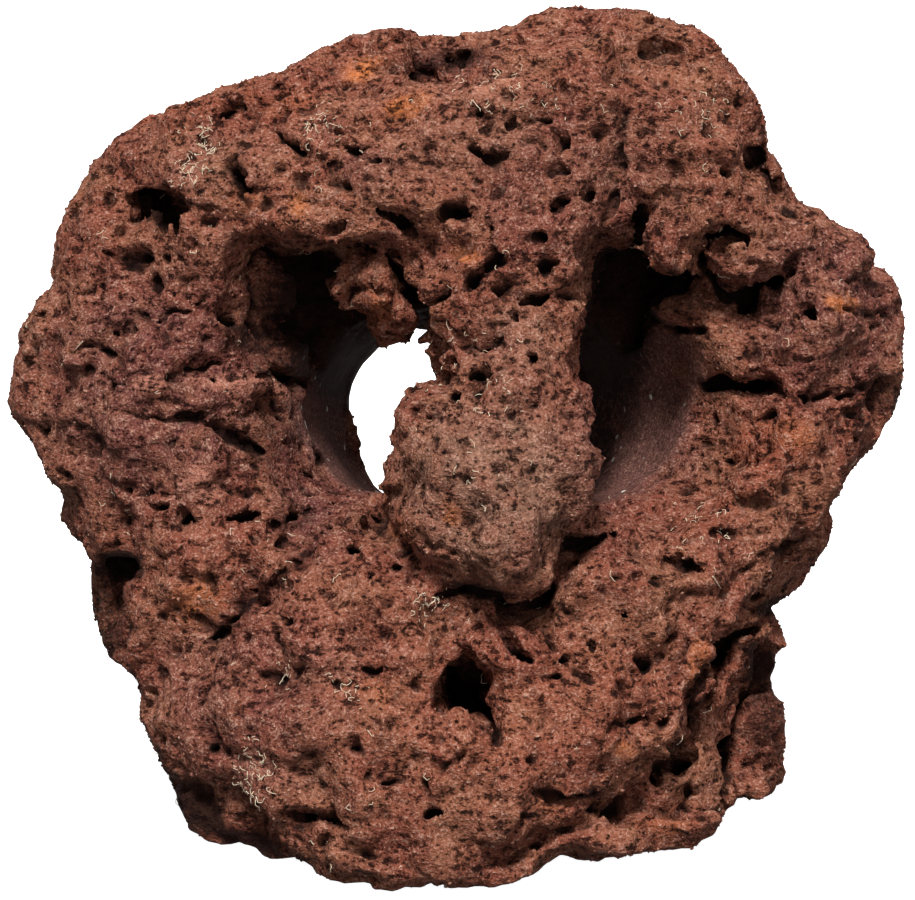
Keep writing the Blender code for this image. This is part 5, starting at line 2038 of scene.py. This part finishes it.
@dataclass
class Grit(Scatter):
    """Angular grains stuck to the stone, drawn out and chipped at random."""

    material: bpy.types.Material
    seed: int = 7
    least_stretch: Vector3 = (0.65, 0.65, 0.55)
    most_stretch: Vector3 = (1.15, 1.15, 0.95)
    chip_scale: float = 1400.0
    chip: float = 0.6
    tone: float = 0.5

    def tree(self) -> bpy.types.NodeTree:
        """Builds the tree that sets the grains.

        Returns:
            The tree.
        """
        bench, group = self.new_tree("grit_tree", (
            ("Smallest", "NodeSocketFloat"), ("Largest", "NodeSocketFloat")))
        spots = self.strew(bench, group, "grit")
        sizes = bench.random_number(group.outputs["Smallest"], group.outputs["Largest"], 3)
        stretches = bench.random_vector(self.least_stretch, self.most_stretch, 4)
        turns = bench.random_vector((0.0, 0.0, 0.0), (math.tau,) * 3, 5)
        tones = bench.random_number(-self.tone, self.tone, 6)
        grain = bench.node("GeometryNodeMeshIcoSphere", {"Radius": 1.0, "Subdivisions": 1})
        grains = bench.node("GeometryNodeInstanceOnPoints", {
            "Points": spots.outputs["Points"], "Instance": grain.outputs["Mesh"],
            "Rotation": turns, "Scale": bench.scaled(stretches, sizes)})
        toned = bench.node("GeometryNodeStoreNamedAttribute", {
            "Geometry": grains.outputs[0], "Name": "grain_tone", "Value": tones},
            data_type="FLOAT", domain="INSTANCE")
        real = bench.node("GeometryNodeRealizeInstances", {"Geometry": toned.outputs[0]})
        chipped = self.jostle(bench, real.outputs[0], self.chip_scale, self.chip * MM)
        self.close_tree(bench, chipped, group)
        return bench.tree

    def build(self, skin: bpy.types.Object) -> list[bpy.types.Object]:
        """Sets the grit.

        Args:
            skin: The stone's skin.

        Returns:
            One piece for each grade.
        """
        tree = self.tree()
        area = weighted_area(skin, "grit")
        pieces = []
        for number, grade in enumerate(GritGrade):
            name, count, smallest, largest = grade.value
            pieces.append(self.grow(name, skin, tree, {
                "Things per square metre": count / area, "Smallest": smallest * MM,
                "Largest": largest * MM, "Seed": self.seed + number, "Material": self.material}))
        return pieces


@dataclass
class Rootlets(Scatter):
    """Curly dry rootlets that cling to the stone, each an arc that is bent by a noise."""

    material: bpy.types.Material
    name: str = "rootlets"
    count: int = 800
    radius: float = 0.085
    sides: int = 5
    curl: float = 0.9
    sweep: float = math.radians(170.0)
    stations: int = 9
    tilt: float = 0.5
    sizes: Pair = (0.4, 1.6)
    sway_scale: float = 600.0
    sway: float = 3.0
    seed: int = 23

    def tree(self) -> bpy.types.NodeTree:
        """Builds the tree that grows the rootlets.

        Returns:
            The tree.
        """
        bench, group = self.new_tree("rootlet_tree", (
            ("Thickness", "NodeSocketFloat"), ("Curl", "NodeSocketFloat")))
        spots = self.strew(bench, group, "rootlets")
        arc = bench.node("GeometryNodeCurveArc", {
            "Resolution": self.stations, "Radius": group.outputs["Curl"], "Sweep Angle": self.sweep})
        spins = bench.random_vector((-self.tilt, -self.tilt, 0.0), (self.tilt, self.tilt, math.tau), 3)
        turned = bench.node("FunctionNodeRotateRotation", {0: spots.outputs["Rotation"], 1: spins},
                            rotation_space="LOCAL")
        least, most = self.sizes
        laid = bench.node("GeometryNodeInstanceOnPoints", {
            "Points": spots.outputs["Points"], "Instance": arc.outputs[0],
            "Rotation": turned.outputs[0], "Scale": bench.random_vector((least,) * 3, (most,) * 3, 4)})
        real = bench.node("GeometryNodeRealizeInstances", {"Geometry": laid.outputs[0]})
        curly = self.jostle(bench, real.outputs[0], self.sway_scale, self.sway * MM)
        ring = bench.node("GeometryNodeCurvePrimitiveCircle", {
            "Resolution": self.sides, "Radius": group.outputs["Thickness"]})
        stems = bench.node("GeometryNodeCurveToMesh", {
            "Curve": curly, "Profile Curve": ring.outputs[0], "Fill Caps": True})
        self.close_tree(bench, stems.outputs[0], group)
        return bench.tree

    def build(self, skin: bpy.types.Object) -> bpy.types.Object:
        """Grows the rootlets over the skin.

        Args:
            skin: The stone's skin.

        Returns:
            The rootlets.
        """
        area = weighted_area(skin, "rootlets")
        return self.grow(self.name, skin, self.tree(), {
            "Things per square metre": self.count / area, "Thickness": self.radius * MM,
            "Curl": self.curl * MM, "Seed": self.seed, "Material": self.material})


@dataclass
class Straws:
    """Bits of dry straw that lie on the stone, each from one place on the face to another."""

    material: bpy.types.Material
    name: str = "straws"
    ends: tuple[tuple[Pair, Pair], ...] = (
        ((-98.9, 21.2), (-93.6, 27.2)), ((63.8, -31.6), (65.8, -34.6)), ((7.5, 17.6), (12.0, 15.2)))
    radius: float = 0.22
    taper: float = 0.5
    lift: float = 0.5
    sag: float = 0.5
    bays: int = 4

    def build(self, skin: bpy.types.Object) -> bpy.types.Object:
        """Lays the straws on the skin.

        Args:
            skin: The stone's skin.

        Returns:
            The straws, as one piece.
        """
        curve = bpy.data.curves.new(self.name, "CURVE")
        curve.dimensions = "3D"
        curve.bevel_depth = self.radius * MM
        curve.bevel_resolution = 1
        curve.use_fill_caps = True
        for ends in self.ends:
            start, end = (self.on_face(skin, *place) for place in ends)
            spline = curve.splines.new("POLY")
            spline.points.add(self.bays)
            for number, point in enumerate(spline.points):
                share = number / self.bays
                middle = start * (1.0 - share) + end * share
                bow = self.lift + self.sag * math.sin(math.pi * share)
                point.co = (*((middle + LAYOUT.axes()[2] * bow) * MM), 1.0)
                point.radius = 1.0 - self.taper * share
        draft = placed(self.name, curve)
        mesh = bpy.data.meshes.new_from_object(draft.evaluated_get(bpy.context.evaluated_depsgraph_get()))
        bpy.data.objects.remove(draft)
        bpy.data.curves.remove(curve)
        mesh.name = self.name
        mesh.materials.clear()
        mesh.materials.append(self.material)
        return placed(self.name, mesh)

    def on_face(self, skin: bpy.types.Object, across: float, up: float) -> np.ndarray:
        """Finds the skin's point that is seen at a place on the face.

        Args:
            skin: The stone's skin.
            across: The place, across the face.
            up: The place, up the face.

        Returns:
            The point, in millimetres.
        """
        eye = LAYOUT.place(0.0, 0.0, LAYOUT.eye_distance - 1.0)
        way = LAYOUT.place(across, up, 0.0) - eye
        found, place, _, _ = skin.ray_cast(Vector(eye) * MM, Vector(way).normalized())
        if not found:
            raise ValueError(f"nothing of the stone is seen at {across}, {up}")
        return np.array(place) / MM


def weighted_area(piece: bpy.types.Object, attribute: str) -> float:
    """Works out a piece's area, counted by one of its attributes.

    Args:
        piece: The piece.
        attribute: The attribute's name.

    Returns:
        The area in square metres.
    """
    rows = triangle_rows(piece.data)
    corners = point_rows(piece.data)[rows]
    sides = np.cross(corners[:, 1] - corners[:, 0], corners[:, 2] - corners[:, 0])
    areas = np.linalg.norm(sides, axis=1) / 2.0
    weights = np.empty(len(piece.data.vertices), np.float32)
    piece.data.attributes[attribute].data.foreach_get("value", weights)
    return float((areas * weights[rows].mean(axis=1)).sum())


# --- the studio ----------------------------------------------------------------------------------------


@dataclass(frozen=True)
class SunLight:
    """A far light: the way it comes from, how wide it looks in degrees, and its strength."""

    name: str
    way: Vector3
    width: float
    strength: float


@dataclass
class Studio:
    """A pale floor, far lights, a pale sky and the camera.

    frame_half is half of what the camera takes in at the layout plane, in millimetres.
    """

    floor_half: float = 4.0
    floor_bays: int = 8
    sensor: float = 36.0
    frame_half: float = 114.375
    lights: tuple[SunLight, ...] = (
        SunLight("key_light", (-0.10, -0.62, 1.00), 12.0, 4.6),
        SunLight("fill_light", (0.30, -1.00, 0.15), 40.0, 0.95),
        SunLight("back_light", (0.10, 0.85, 0.90), 40.0, 0.9),
    )
    sky: float = 0.34
    dusk: float = 0.15

    def floor(self) -> bpy.types.Object:
        """Lays the floor.

        Returns:
            The floor.
        """
        shape = bmesh.new()
        bmesh.ops.create_grid(
            shape, x_segments=self.floor_bays, y_segments=self.floor_bays, size=self.floor_half)
        mesh = bpy.data.meshes.new("floor")
        shape.to_mesh(mesh)
        shape.free()
        mesh.materials.append(FloorFinish().material())
        piece = placed("floor", mesh)
        piece.visible_diffuse = False
        return piece

    def camera(self) -> None:
        """Sets the camera at the eye point of the face's layout."""
        lens = bpy.data.cameras.new("camera")
        lens.sensor_width = self.sensor
        lens.sensor_fit = "HORIZONTAL"
        lens.lens = 0.5 * self.sensor * LAYOUT.eye_distance / self.frame_half
        eye = placed("camera", lens)
        out = Vector(LAYOUT.axes()[2])
        eye.location = (Vector(LAYOUT.centre) + out * LAYOUT.eye_distance) * MM
        eye.rotation_euler = out.to_track_quat("Z", "Y").to_euler()
        bpy.context.scene.camera = eye

    def hang_lights(self) -> None:
        """Hangs the far lights and sets a sky that is dark below the horizon."""
        for light in self.lights:
            lamp = bpy.data.lights.new(light.name, "SUN")
            lamp.angle = math.radians(light.width)
            lamp.energy = light.strength
            stand = placed(light.name, lamp)
            stand.location = light.way
            stand.rotation_euler = Vector(light.way).to_track_quat("Z", "Y").to_euler()
        world = bpy.data.worlds.new("studio")
        world.use_nodes = True
        bench = NodeBench(world.node_tree)
        way = bench.node("ShaderNodeTexCoord").outputs["Generated"]
        height = bench.node("ShaderNodeSeparateXYZ", {0: way}).outputs["Z"]
        background = world.node_tree.nodes["Background"]
        background.inputs["Color"].default_value = (1.0, 1.0, 1.0, 1.0)
        strength = bench.ramp(height, -self.dusk, self.dusk, 0.0, self.sky)
        world.node_tree.links.new(strength, background.inputs["Strength"])
        bpy.context.scene.world = world
        bpy.context.scene.view_settings.view_transform = "Standard"

    def build(self) -> bpy.types.Object:
        """Sets up the studio and gives back its floor."""
        self.camera()
        self.hang_lights()
        return self.floor()


def report(piece: bpy.types.Object) -> None:
    """Logs a finished piece."""
    log.info("%s: %d triangles", piece.name, len(triangle_rows(piece.data)))


def main() -> None:
    """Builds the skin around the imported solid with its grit, rootlets and straws, and the studio."""
    logging.basicConfig(level=logging.INFO, format="%(relativeCreated)6d ms %(message)s")
    floor = Studio().build()
    skin = StoneSkin().build(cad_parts[NODE])
    stone = ScoriaFinish().material()
    skin.data.materials.append(stone)
    dry = RootletFinish().material()
    pieces = [skin, *Grit(stone).build(skin), Rootlets(dry).build(skin), Straws(dry).build(skin)]
    for piece in pieces:
        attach(piece, BODY)
        report(piece)
    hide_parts(NODE)


if __name__ == "__main__":
    main()
